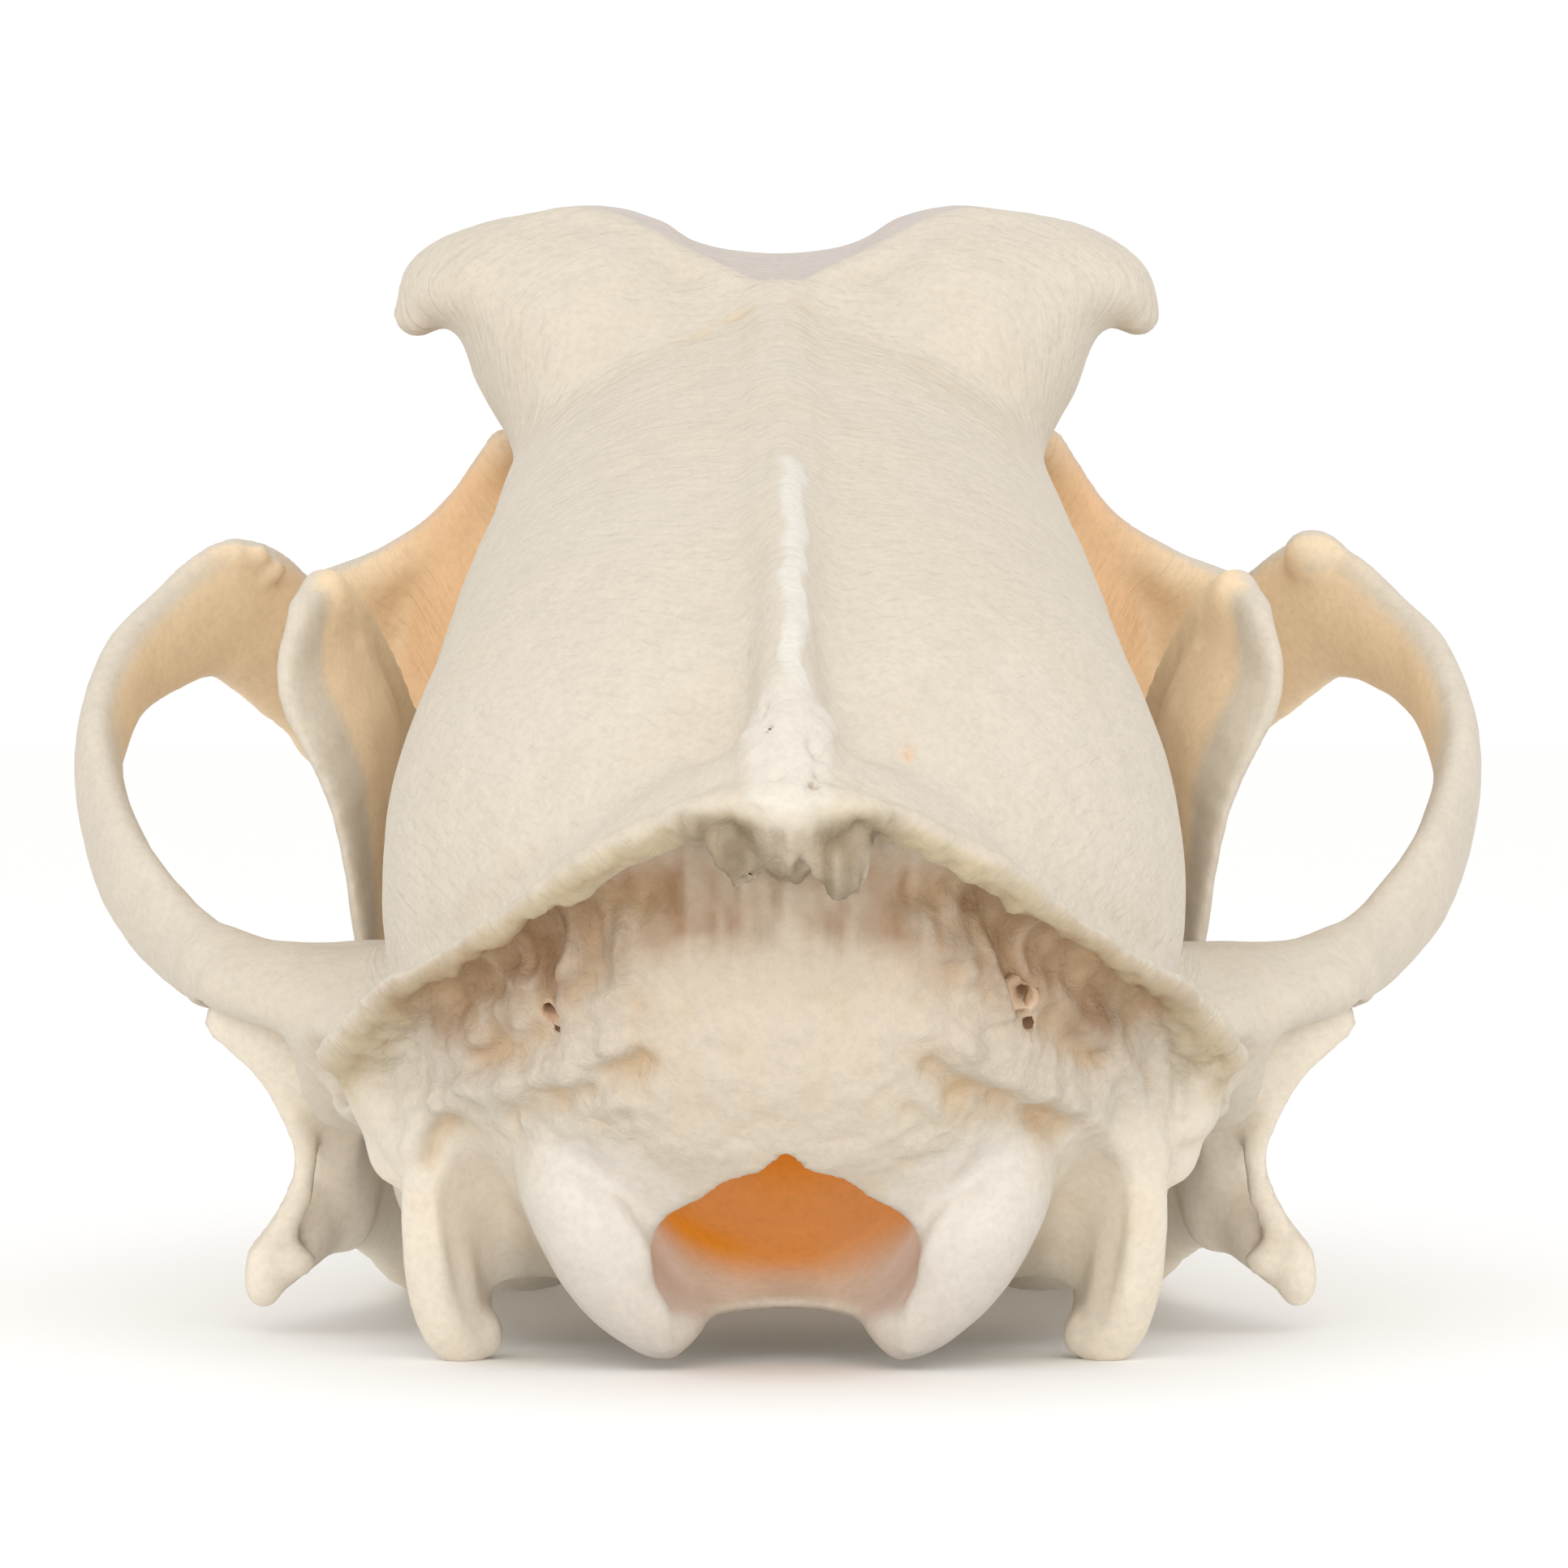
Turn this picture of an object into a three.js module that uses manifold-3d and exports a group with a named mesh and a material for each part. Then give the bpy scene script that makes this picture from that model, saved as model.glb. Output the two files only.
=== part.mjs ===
// Skull of a large, broad-headed dog with its lower jaw in place, life size, as a museum shows it.
//
// Lengths are millimetres. The bones are described in the skull's own frame: x to its right,
// y towards the snout, z up, with z = 0 at the sockets of the upper cheek teeth and y = 0 at the
// lower rim of the foramen magnum. At the end the skull is tipped nose-up by REST_TILT, the
// attitude in which it stands by itself, and set on the floor z = 0.
//
// Each bone is sculpted as a signed field, below zero inside the bone, by blending a few simple
// forms. The zero surface of the field is meshed, thinned and parted into the named pieces.
import * as THREE from 'three';
import { edgeTable, triTable } from 'three/addons/objects/MarchingCubes.js';
import { mergeVertices } from 'three/addons/utils/BufferGeometryUtils.js';
import Module from 'manifold-3d';

// Driving sizes of the skull.
const ZYGOMATIC_HALF = 58.8; // half the width across the cheek arches
const MUZZLE_TIP_Y = 185; // front of the upper jaw, measured from the foramen magnum
const VAULT_TOP_Z = 60.3; // roof of the braincase beside the crest
const LOBE_TOP_Z = 64.6; // top of each frontal lobe
const CONDYLE_HALF = 20.4; // half the width across the occipital condyles
const FORAMEN_HALF = 10.4; // half the width of the foramen magnum
const WALL = 3.5; // thickness of the braincase wall
const REST_TILT = THREE.MathUtils.degToRad(20.5);
const JOINT_GAP = 0.8; // space between the jaw's condyle and its socket
const PARTING = 0.3; // width of the thin cuts between the named pieces
const REST_LIFT = 0.62; // height over the floor of the foramen magnum's lower rim
const REST_BACK = 66.88; // moves the middle of the skull's length over the origin

// Fineness of the sculpted surfaces.
const CELL = 1.1;
const CRANIUM_FACES = 7400;
const JAW_FACES = 1250;
const FAR = 1e3;
const NEAREST = 0.1; // least distance of a surface point from a grid point, in cells
const SLIVER = 0.15; // flatness at which a triangle counts as a sliver when the surface is thinned
const TURN = 0.25; // cosine of the most that a face may turn in one step of thinning
const SPREAD = 2e-3; // favours short edges where the surface is flat

const RIGHT = 1;
const LEFT = -1;
const SIDES = [LEFT, RIGHT];

const wasm = await Module();
wasm.setup();

// Sculpting

// A field of distances on a regular grid, to which forms are added and from which they are cut.
class Sculpt {
  constructor(low, high) {
    this.low = low;
    this.count = low.map((v, k) => Math.ceil((high[k] - v) / CELL) + 1);
    this.field = new Float32Array(this.count[0] * this.count[1] * this.count[2]).fill(FAR);
  }

  // The first and last grid index inside a box grown by a margin, clear of the grid's border.
  reach(box, margin) {
    const from = box.min.toArray();
    const to = box.max.toArray();
    const first = this.low.map((v, k) => Math.max(1, Math.ceil((from[k] - margin - v) / CELL)));
    const last = this.low.map((v, k) =>
      Math.min(this.count[k] - 2, Math.floor((to[k] + margin - v) / CELL)));
    return { first, last };
  }

  // Distances to the nearest piece of a form, at the grid points that the form can touch.
  measure(form, margin) {
    const whole = new THREE.Box3();
    for (const piece of form) whole.union(piece.box);
    const { first, last } = this.reach(whole, margin);
    const span = first.map((v, k) => last[k] - v + 1);
    if (span.some((n) => n < 1)) return null;
    const near = new Float32Array(span[0] * span[1] * span[2]).fill(FAR);
    for (const piece of form) {
      const part = this.reach(piece.box, margin);
      for (let k = part.first[2]; k <= part.last[2]; k++)
        for (let j = part.first[1]; j <= part.last[1]; j++) {
          const row = ((k - first[2]) * span[1] + j - first[1]) * span[0] - first[0];
          const y = this.low[1] + j * CELL;
          const z = this.low[2] + k * CELL;
          for (let i = part.first[0]; i <= part.last[0]; i++) {
            const d = piece.distance(this.low[0] + i * CELL, y, z);
            if (d < near[row + i]) near[row + i] = d;
          }
        }
    }
    return { near, first, span };
  }

  merge(form, blend, rule) {
    const found = this.measure(form, blend + CELL);
    if (!found) return;
    const { near, first, span } = found;
    let n = 0;
    for (let k = 0; k < span[2]; k++)
      for (let j = 0; j < span[1]; j++) {
        let at = ((k + first[2]) * this.count[1] + j + first[1]) * this.count[0] + first[0];
        for (let i = 0; i < span[0]; i++, at++, n++)
          if (near[n] < FAR) this.field[at] = rule(this.field[at], near[n]);
      }
  }

  add(form, blend = 0.01) {
    this.merge(form, blend, (a, b) => softMin(a, b, blend));
  }

  cut(form, blend = 0.01) {
    this.merge(form, blend, (a, b) => -softMin(-a, b, blend));
  }
}

function softMin(a, b, blend) {
  const h = Math.max(blend - Math.abs(a - b), 0);
  return Math.min(a, b) - (h * h) / (4 * blend);
}

// Distance from a point to an ellipse or ellipsoid, good near its surface.
function ellipseDistance(u, v, w, a, b, c) {
  const k0 = Math.hypot(u / a, v / b, w / c);
  const k1 = Math.hypot(u / (a * a), v / (b * b), w / (c * c));
  return k1 < 1e-9 ? -Math.min(a, b, c) : (k0 * (k0 - 1)) / k1;
}

// An ellipsoid, turned by angles in degrees about x, y and z.
function ball(centre, radii, turn = [0, 0, 0]) {
  const c = new THREE.Vector3(...centre);
  const turned = new THREE.Matrix4().makeRotationFromEuler(
    new THREE.Euler(...turn.map(THREE.MathUtils.degToRad)));
  const back = turned.clone().transpose().elements;
  const longest = Math.max(...radii);
  const half = new THREE.Vector3(longest, longest, longest);
  if (turn.every((v) => v === 0)) half.set(...radii);
  const box = new THREE.Box3(c.clone().sub(half), c.clone().add(half));
  const distance = (x, y, z) => {
    const p = x - c.x;
    const q = y - c.y;
    const r = z - c.z;
    return ellipseDistance(
      back[0] * p + back[4] * q + back[8] * r,
      back[1] * p + back[5] * q + back[9] * r,
      back[2] * p + back[6] * q + back[10] * r, ...radii);
  };
  return [{ box, distance }];
}

// A swept ellipse along a smooth curve. Each knot holds its place, then its half width and half
// thickness, then if it changes the direction in which it is wide.
function limb(wide, knots, steps = 4) {
  const places = new THREE.CatmullRomCurve3(knots.map((k) => new THREE.Vector3(k[0], k[1], k[2])));
  const radii = new THREE.CatmullRomCurve3(knots.map((k) => new THREE.Vector3(k[3], k[4], 0)));
  const facing = new THREE.CatmullRomCurve3(
    knots.map((k) => new THREE.Vector3(...(k[5] ?? wide)).normalize()));
  for (const curve of [places, radii, facing]) curve.curveType = 'catmullrom';
  const total = (knots.length - 1) * steps;
  const form = [];
  for (let n = 0; n < total; n++) {
    const t0 = n / total;
    const t1 = (n + 1) / total;
    form.push(segment(
      places.getPoint(t0), places.getPoint(t1), radii.getPoint(t0), radii.getPoint(t1),
      facing.getPoint(t0), facing.getPoint(t1)));
  }
  return form;
}

// One short length of a limb, with rounded ends.
function segment(from, to, size0, size1, wide0, wide1) {
  const along = to.clone().sub(from);
  const length = along.length();
  const t = along.divideScalar(length);
  const reach = Math.max(size0.x, size0.y, size1.x, size1.y);
  const box = new THREE.Box3().setFromPoints([from, to]).expandByScalar(reach);
  const distance = (x, y, z) => {
    const px = x - from.x;
    const py = y - from.y;
    const pz = z - from.z;
    const s = Math.min(Math.max(px * t.x + py * t.y + pz * t.z, 0), length);
    const f = s / length;
    const qx = px - t.x * s;
    const qy = py - t.y * s;
    const qz = pz - t.z * s;
    let wx = wide0.x + (wide1.x - wide0.x) * f;
    let wy = wide0.y + (wide1.y - wide0.y) * f;
    let wz = wide0.z + (wide1.z - wide0.z) * f;
    const slant = wx * t.x + wy * t.y + wz * t.z;
    wx -= slant * t.x;
    wy -= slant * t.y;
    wz -= slant * t.z;
    const size = Math.hypot(wx, wy, wz);
    const u = (qx * wx + qy * wy + qz * wz) / size;
    const axial = qx * t.x + qy * t.y + qz * t.z;
    const v = Math.sqrt(Math.max(qx * qx + qy * qy + qz * qz - u * u - axial * axial, 0));
    const a = size0.x + (size1.x - size0.x) * f;
    const b = size0.y + (size1.y - size0.y) * f;
    return ellipseDistance(u, v, axial, a, b, Math.min(a, b));
  };
  return { box, distance };
}

// A form with a rounded cross-section at each station along y: half width, then the heights of its
// underside, its widest level and its top. Upper and lower give how square the two halves are.
function loft(stations, upper = 2, lower = 2) {
  const first = stations[0][0];
  const last = stations[stations.length - 1][0];
  const slices = [];
  const sliceStep = 0.5;
  for (let y = first; y <= last + 1e-6; y += sliceStep) {
    let n = stations.findIndex((s) => s[0] > y);
    if (n < 0) n = stations.length - 1;
    const [a, b] = [stations[n - 1], stations[n]];
    const before = stations[Math.max(n - 2, 0)];
    const after = stations[Math.min(n + 1, stations.length - 1)];
    const f = (y - a[0]) / (b[0] - a[0]);
    slices.push([1, 2, 3, 4].map((k) => {
      const rise0 = ((b[k] - before[k]) / (b[0] - before[0])) * (b[0] - a[0]);
      const rise1 = ((after[k] - a[k]) / (after[0] - a[0])) * (b[0] - a[0]);
      const f2 = f * f;
      const f3 = f2 * f;
      return (2 * f3 - 3 * f2 + 1) * a[k] + (f3 - 2 * f2 + f) * rise0
        + (3 * f2 - 2 * f3) * b[k] + (f3 - f2) * rise1;
    }));
  }
  const most = Math.max(...slices.map((s) => s[0]));
  const box = new THREE.Box3(
    new THREE.Vector3(-most, first, Math.min(...slices.map((s) => s[1]))),
    new THREE.Vector3(most, last, Math.max(...slices.map((s) => s[3]))));
  const endRound = 3;
  const distance = (x, y, z) => {
    const spot = Math.min(Math.max((y - first) / sliceStep, 0), slices.length - 1.001);
    const n = Math.floor(spot);
    const f = spot - n;
    const [w, bottom, level, top] = slices[n].map((v, k) => v + (slices[n + 1][k] - v) * f);
    const above = z > level;
    const h = above ? top - level : level - bottom;
    const power = above ? upper : lower;
    const u = Math.abs(x) / w;
    const v = Math.abs(z - level) / h;
    const q = Math.max((u ** power + v ** power) ** (1 / power), 1e-3);
    const slope = Math.hypot((u / q) ** (power - 1) / w, (v / q) ** (power - 1) / h);
    const side = (q - 1) / slope;
    const end = Math.max(first - y, y - last);
    return -softMin(-side, -end, endRound);
  };
  return [{ box, distance }];
}

// A form's knots or centres carried over to one side of the skull.
const mirror = (side, [x, ...rest]) => [side * x, ...rest];
const sideBall = (side, centre, radii, turn = [0, 0, 0]) =>
  ball(mirror(side, centre), radii, [turn[0], side * turn[1], side * turn[2]]);
const sideLimb = (side, wide, knots, steps) =>
  limb(mirror(side, wide), knots.map(([x, y, z, a, b, turn]) =>
    [side * x, y, z, a, b, ...(turn ? [mirror(side, turn)] : [])]), steps);

// Surfacing

// The zero surface of a sculpt, as an indexed mesh with shared vertices.
function surface(sculpt) {
  const [nx, ny, nz] = sculpt.count;
  const { field, low } = sculpt;
  // The corners of a grid cell, then its edges by the corners that they join.
  const corners = [
    [0, 0, 0], [1, 0, 0], [1, 1, 0], [0, 1, 0],
    [0, 0, 1], [1, 0, 1], [1, 1, 1], [0, 1, 1],
  ];
  const edges = [
    [0, 1], [1, 2], [3, 2], [0, 3],
    [4, 5], [5, 6], [7, 6], [4, 7],
    [0, 4], [1, 5], [2, 6], [3, 7],
  ];
  const offset = corners.map(([a, b, c]) => (c * ny + b) * nx + a);
  const points = [];
  const faces = [];
  const known = new Map();
  const crossing = (cell, edge, i, j, k) => {
    const [a, b] = edges[edge];
    const axis = corners[a].findIndex((v, n) => v !== corners[b][n]);
    const key = (cell + offset[a]) * 3 + axis;
    if (!known.has(key)) {
      const va = field[cell + offset[a]];
      const vb = field[cell + offset[b]];
      const place = [i, j, k].map((v, n) => v + corners[a][n]);
      place[axis] += THREE.MathUtils.clamp(va / (va - vb), NEAREST, 1 - NEAREST);
      known.set(key, points.length);
      points.push(new THREE.Vector3(...place.map((v, n) => low[n] + v * CELL)));
    }
    return known.get(key);
  };
  for (let k = 0; k < nz - 1; k++)
    for (let j = 0; j < ny - 1; j++)
      for (let i = 0; i < nx - 1; i++) {
        const cell = (k * ny + j) * nx + i;
        let code = 0;
        for (let n = 0; n < 8; n++) if (field[cell + offset[n]] < 0) code |= 1 << n;
        if (edgeTable[code] === 0) continue;
        for (let t = code * 16; triTable[t] !== -1; t += 3)
          faces.push([0, 2, 1].map((n) => crossing(cell, triTable[t + n], i, j, k)));
      }
  return { points, faces };
}

// Keeps the entry of least cost on top.
class Queue {
  constructor() {
    this.heap = [];
  }

  size() {
    return this.heap.length;
  }

  push(entry) {
    const { heap } = this;
    let n = heap.length;
    heap.push(entry);
    while (n > 0) {
      const up = (n - 1) >> 1;
      if (heap[up].c <= entry.c) break;
      heap[n] = heap[up];
      n = up;
    }
    heap[n] = entry;
  }

  pop() {
    const { heap } = this;
    const top = heap[0];
    const entry = heap.pop();
    if (!heap.length) return top;
    let n = 0;
    for (;;) {
      let down = 2 * n + 1;
      if (down >= heap.length) break;
      if (down + 1 < heap.length && heap[down + 1].c < heap[down].c) down++;
      if (heap[down].c >= entry.c) break;
      heap[n] = heap[down];
      n = down;
    }
    heap[n] = entry;
    return top;
  }
}

// Thins a closed mesh to about the wanted number of faces by collapsing the edges that matter
// least to its shape. Each vertex carries the sum of the squared distances to its first planes.
function thin({ points, faces }, wanted) {
  const quadrics = points.map(() => new Float64Array(10));
  const around = points.map(() => new Set());
  const normalOf = (a, b, c) => new THREE.Vector3().crossVectors(
    new THREE.Vector3().subVectors(b, a), new THREE.Vector3().subVectors(c, a));
  faces.forEach((face, n) => {
    const normal = normalOf(...face.map((v) => points[v]));
    const area = normal.length();
    if (area > 0) normal.divideScalar(area);
    const plane = [normal.x, normal.y, normal.z, -normal.dot(points[face[0]])];
    for (const v of face) {
      around[v].add(n);
      let m = 0;
      for (let r = 0; r < 4; r++)
        for (let c = r; c < 4; c++) quadrics[v][m++] += plane[r] * plane[c] * area;
    }
  });
  const longestSquared = (a, b, c) =>
    Math.max(a.distanceToSquared(b), b.distanceToSquared(c), c.distanceToSquared(a));
  const cost = (q, { x, y, z }) => x * (q[0] * x + 2 * q[1] * y + 2 * q[2] * z + 2 * q[3])
    + y * (q[4] * y + 2 * q[5] * z + 2 * q[6]) + z * (q[7] * z + 2 * q[8]) + q[9];
  const best = (a, b) => {
    const q = quadrics[a].map((v, n) => v + quadrics[b][n]);
    const solve = new THREE.Matrix3().set(q[0], q[1], q[2], q[1], q[4], q[5], q[2], q[5], q[7]);
    const middle = points[a].clone().lerp(points[b], 0.5);
    const spots = [middle, points[a], points[b]];
    const size = (q[0] + q[4] + q[7]) / 3;
    if (Math.abs(solve.determinant()) > 1e-3 * size ** 3) {
      const ideal = new THREE.Vector3(-q[3], -q[6], -q[8]).applyMatrix3(solve.invert());
      if (ideal.distanceTo(middle) < points[a].distanceTo(points[b])) spots.push(ideal);
    }
    let found = null;
    const spread = SPREAD * points[a].distanceToSquared(points[b]);
    for (const spot of spots) {
      const c = cost(q, spot) + spread;
      if (!found || c < found.c) found = { c, spot };
    }
    return found;
  };
  const ring = (v) => {
    const met = new Set();
    for (const n of around[v]) for (const w of faces[n]) if (w !== v) met.add(w);
    return met;
  };
  // A collapse is refused where it would pinch the surface or fold a face over.
  const allowed = (a, b, spot) => {
    const ringB = ring(b);
    let shared = 0;
    for (const v of ring(a)) if (ringB.has(v)) shared++;
    if (shared !== 2) return false;
    for (const [v, other] of [[a, b], [b, a]])
      for (const n of around[v]) {
        const face = faces[n];
        if (face.includes(other)) continue;
        const was = face.map((w) => points[w]);
        const now = face.map((w) => (w === v ? spot : points[w]));
        const before = normalOf(...was);
        const after = normalOf(...now);
        const fitBefore = before.length() / longestSquared(...was);
        const fitAfter = after.length() / longestSquared(...now);
        if (fitAfter < Math.min(SLIVER, 0.8 * fitBefore)) return false;
        const cosine = before.dot(after) / (before.length() * after.length());
        if (fitBefore > SLIVER / 3 && cosine < TURN) return false;
      }
    return true;
  };
  const changes = new Int32Array(points.length);
  const queue = new Queue();
  const offer = (a, b) => {
    const { c, spot } = best(a, b);
    queue.push({ c, a, b, spot, age: changes[a] + changes[b] });
  };
  for (const face of faces)
    face.forEach((a, n) => {
      const b = face[(n + 1) % 3];
      if (a < b) offer(a, b);
    });
  let live = faces.length;
  while (live > wanted && queue.size()) {
    const { a, b, spot, age } = queue.pop();
    if (!around[a].size || !around[b].size || age !== changes[a] + changes[b]) continue;
    if (!allowed(a, b, spot)) continue;
    points[a].copy(spot);
    quadrics[b].forEach((v, k) => { quadrics[a][k] += v; });
    for (const f of around[b]) {
      if (faces[f].includes(a)) {
        for (const v of faces[f]) if (v !== b) around[v].delete(f);
        faces[f] = null;
        live--;
      } else {
        faces[f] = faces[f].map((v) => (v === b ? a : v));
        around[a].add(f);
      }
    }
    around[b].clear();
    changes[a]++;
    for (const v of ring(a)) offer(a, v);
  }
  return { points, faces: faces.filter(Boolean) };
}

// Solids

function solidOfMesh({ points, faces }) {
  const used = new Map();
  const place = [];
  for (const v of faces.flat())
    if (!used.has(v)) {
      used.set(v, used.size);
      place.push(...points[v].toArray());
    }
  return new wasm.Manifold(new wasm.Mesh({
    numProp: 3,
    vertProperties: new Float32Array(place),
    triVerts: new Uint32Array(faces.flat().map((v) => used.get(v))),
  }));
}

function solidOf(geometry) {
  const bare = geometry.clone();
  for (const name of ['normal', 'uv']) bare.deleteAttribute(name);
  const merged = mergeVertices(bare, 1e-4);
  return new wasm.Manifold(new wasm.Mesh({
    numProp: 3,
    vertProperties: new Float32Array(merged.attributes.position.array),
    triVerts: new Uint32Array(merged.index.array),
  }));
}

const biggest = (solid) => solid.decompose().reduce((a, b) => (b.volume() > a.volume() ? b : a));

// Braincase, occiput and forehead

// The vault: widest above the ear openings, narrowed behind the eyes, with its roof in one line.
function addVault(s) {
  s.add(loft([
    [-13, 9, 26, 35, 44],
    [-8, 18, 17, 34, 50],
    [0, 25.2, 8, 31, 55.2],
    [10, 29.8, 6, 30, 58],
    [22, 31, 5, 31, 59.6],
    [37, 28.9, 5, 33, VAULT_TOP_Z],
    [50, 27, 8, 36, VAULT_TOP_Z],
    [61, 24.6, 12, 40, VAULT_TOP_Z],
    [72, 22.2, 20, 45, 60],
    [82, 20.6, 26, 47, 60.4],
    [92, 19, 28, 46, 59.6],
    [104, 17, 24, 43, 54],
    [113, 15, 22, 39, 48],
  ], 2.15, 2.3));
}

// The forehead: two swollen lobes with a groove between them, each drawn out into a process
// above the eye, and the temporal lines that close in on the crest behind them.
function addForehead(s) {
  for (const side of SIDES) {
    s.add(sideBall(side, [15.6, 87, 54.4], [10.6, 17, LOBE_TOP_Z - 54.4], [-5, 4, 0]), 5);
    s.add(sideLimb(side, [0, 1, 0], [
      [18.5, 86, 57, 9, 4.6],
      [24, 87, 59, 7.5, 3.8],
      [28.4, 87.5, 58, 5, 3],
      [30.4, 87, 56, 3, 1.9],
    ]), 4);
    s.add(sideLimb(side, [0, 1, 0], [
      [29.4, 86, 58.4, 1.2, 1],
      [24, 86.4, 61.8, 1.6, 1.2],
      [17, 87, 64, 1.6, 1.2],
      [11, 86.4, 63.4, 1.6, 1.2],
      [6, 82.6, 61.8, 1.4, 1.1],
      [0.6, 76, 60.4, 1.2, 1],
    ]), 3);
  }
  s.add(ball([0, 88, 51.6], [17, 17, 8.4]), 7);
  s.cut(limb([1, 0, 0], [[0, 84, 64, 3, 1.6], [0, 98, 61, 5, 2], [0, 113, 53.5, 5, 2]]), 4);
}

// The crest along the midline, rising towards its knob at the back.
function addSagittalCrest(s) {
  s.add(limb([0, 0, 1], [
    [0, 76, 60.3, 1.2, 1.1],
    [0, 55, 60.3, 1.4, 1.4],
    [0, 35, 60.2, 2, 1.8],
    [0, 15, 58.7, 3.4, 2.2],
    [0, -2, 55.6, 4.8, 2.4],
    [0, -13, 51.2, 6.4, 3],
    [0, -19.4, 51.6, 3, 3],
  ]), 3.4);
  // Two blunt hooks hang from the knob.
  for (const side of SIDES) s.add(sideBall(side, [3.9, -20, 49.2], [2.5, 2.6, 3.4], [0, -8, 0]), 1);
}

// The nuchal crest: a thin blade from the knob round to the mastoid edge on each side, which the
// roof of the braincase rises to meet.
function addNuchalCrest(s) {
  for (const side of SIDES) {
    s.add(sideLimb(side, [0, 1, 0], [
      [0, -4, 46, 8, 6.6],
      [7, -3.6, 45.4, 8, 6.2],
      [13, -1.5, 42, 7.5, 5.6],
      [18, 3.5, 36.5, 7, 5],
      [22.5, 8, 31, 6, 4.4],
    ]), 3);
    s.add(sideLimb(side, [0, 1, 0], [
      [0, -16.4, 53, 5.2, 1.7, [0, 1, 0.1]],
      [5.3, -15, 51.9, 5.2, 1.4, [-0.15, 1, 0.1]],
      [12.3, -11.5, 47.4, 5.4, 1.3, [-0.38, 0.9, 0.2]],
      [17.6, -6, 40.5, 5.4, 1.3, [-0.55, 0.8, 0.2]],
      [22.4, -0.2, 34.5, 5.2, 1.3, [-0.6, 0.78, 0.15]],
      [26.2, 5, 29.5, 4.6, 1.4, [-0.7, 0.7, 0.1]],
      [29.5, 8.2, 24.3, 3.6, 1.6, [-0.8, 0.6, 0]],
      [31.4, 10.6, 20.4, 2.8, 1.8, [-0.9, 0.4, 0]],
      [30.6, 10, 17, 2.6, 1.8, [-0.9, 0.4, 0]],
      [28.6, 9, 13, 2.4, 1.8, [-0.9, 0.4, 0]],
    ]), 2);
  }
}

// The back of the head: condyles beside the foramen magnum and the paracondylar processes.
function addOcciput(s) {
  s.add(loft([
    [-9, 9, 20, 27, 36],
    [-3, 16, 6, 20, 42],
    [4, 23, 3.2, 16, 44],
    [13, 28, 3.2, 15, 46],
    [24, 27, 4, 14, 42],
  ], 2.2, 3), 3);
  s.add(loft([
    [-1, 9, 3.4, 5.6, 8],
    [12, 11.5, 3.2, 6, 10],
    [30, 11, 3.4, 7, 12],
    [48, 10, 5, 9, 14],
    [66, 9.5, 8, 13, 20],
  ], 2.6, 2.6), 3);
  for (const side of SIDES) {
    s.add(sideBall(side, [CONDYLE_HALF - 7.4, -1.8, 10.9], [5.1, 7.4, 11.2], [0, 33, 0]), 1.6);
    s.add(sideLimb(side, [0, 1, 0], [
      [26.6, 9, 18, 5, 3.6],
      [26.4, 7, 10, 5.4, 2.7],
      [26, 6, 3, 4.8, 2.7],
      [24.9, 6, -0.4, 4, 2.7],
    ]), 3);
    s.add(sideLimb(side, [0, 0, 1], [
      [25.5, 9, 8, 7, 1.6, [0.1, 0, 1]],
      [20, 11, 7, 5.5, 1.6, [0, 0, 1]],
      [14, 9, 6, 4, 2, [0, 0, 1]],
    ]), 3);
    s.cut(sideBall(side, [20.6, 0.5, 6], [2.6, 7, 9], [0, 18, 0]), 2.4);
  }
}

function addBullae(s) {
  for (const side of SIDES) {
    s.add(sideBall(side, [21.5, 28, 2], [9.5, 13.5, 9.6], [0, 0, -14]), 3);
    s.add(sideLimb(side, [0, 0, 1], [[30, 26, 12, 5, 4], [33.5, 25, 14, 4.6, 4]]), 3);
    s.cut(sideBall(side, [35.5, 24.5, 13.6], [5, 3, 3]), 1.5);
  }
}

// The foramen magnum with its notched upper rim, and the hollow of the braincase behind it.
function cutCranialCavity(s) {
  s.cut(limb([1, 0, 0], [
    [0, -18, 11.4, FORAMEN_HALF, 6.8],
    [0, 0, 10.8, FORAMEN_HALF, 6.8],
    [0, 10, 12.5, FORAMEN_HALF, 7.6],
  ]), 1);
  s.cut(ball([0, -7, 15.4], [4.6, 7, 5.2]), 2.4);
  s.cut(loft([
    [6, 12, 7, 14, 22],
    [14, 31.6 - WALL - 5, 8.5, 26, 46],
    [26, 31.6 - WALL - 1.5, 9.5, 31, VAULT_TOP_Z - WALL - 1],
    [44, 29 - WALL - 1, 12, 34, VAULT_TOP_Z - WALL - 1],
    [56, 26 - WALL - 2, 20, 38, VAULT_TOP_Z - WALL - 2],
    [62, 12, 30, 40, 50],
  ], 2, 2.2), 2);
}

// The jaw's condyle, a bar across its hind edge, or the same grown by a margin.
const jawCondyle = (margin) => [
  [26.5, 36.8, 8.8, 3, 3],
  [33, 37.4, 9.4, 3.6, 3.5],
  [39.6, 38.2, 9.8, 3.6, 3.5],
  [43.6, 38.8, 10.6, 2.7, 2.7],
].map(([x, y, z, a, b]) => [x, y, z, a + margin, b + margin]);

// Cheek arches

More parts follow.
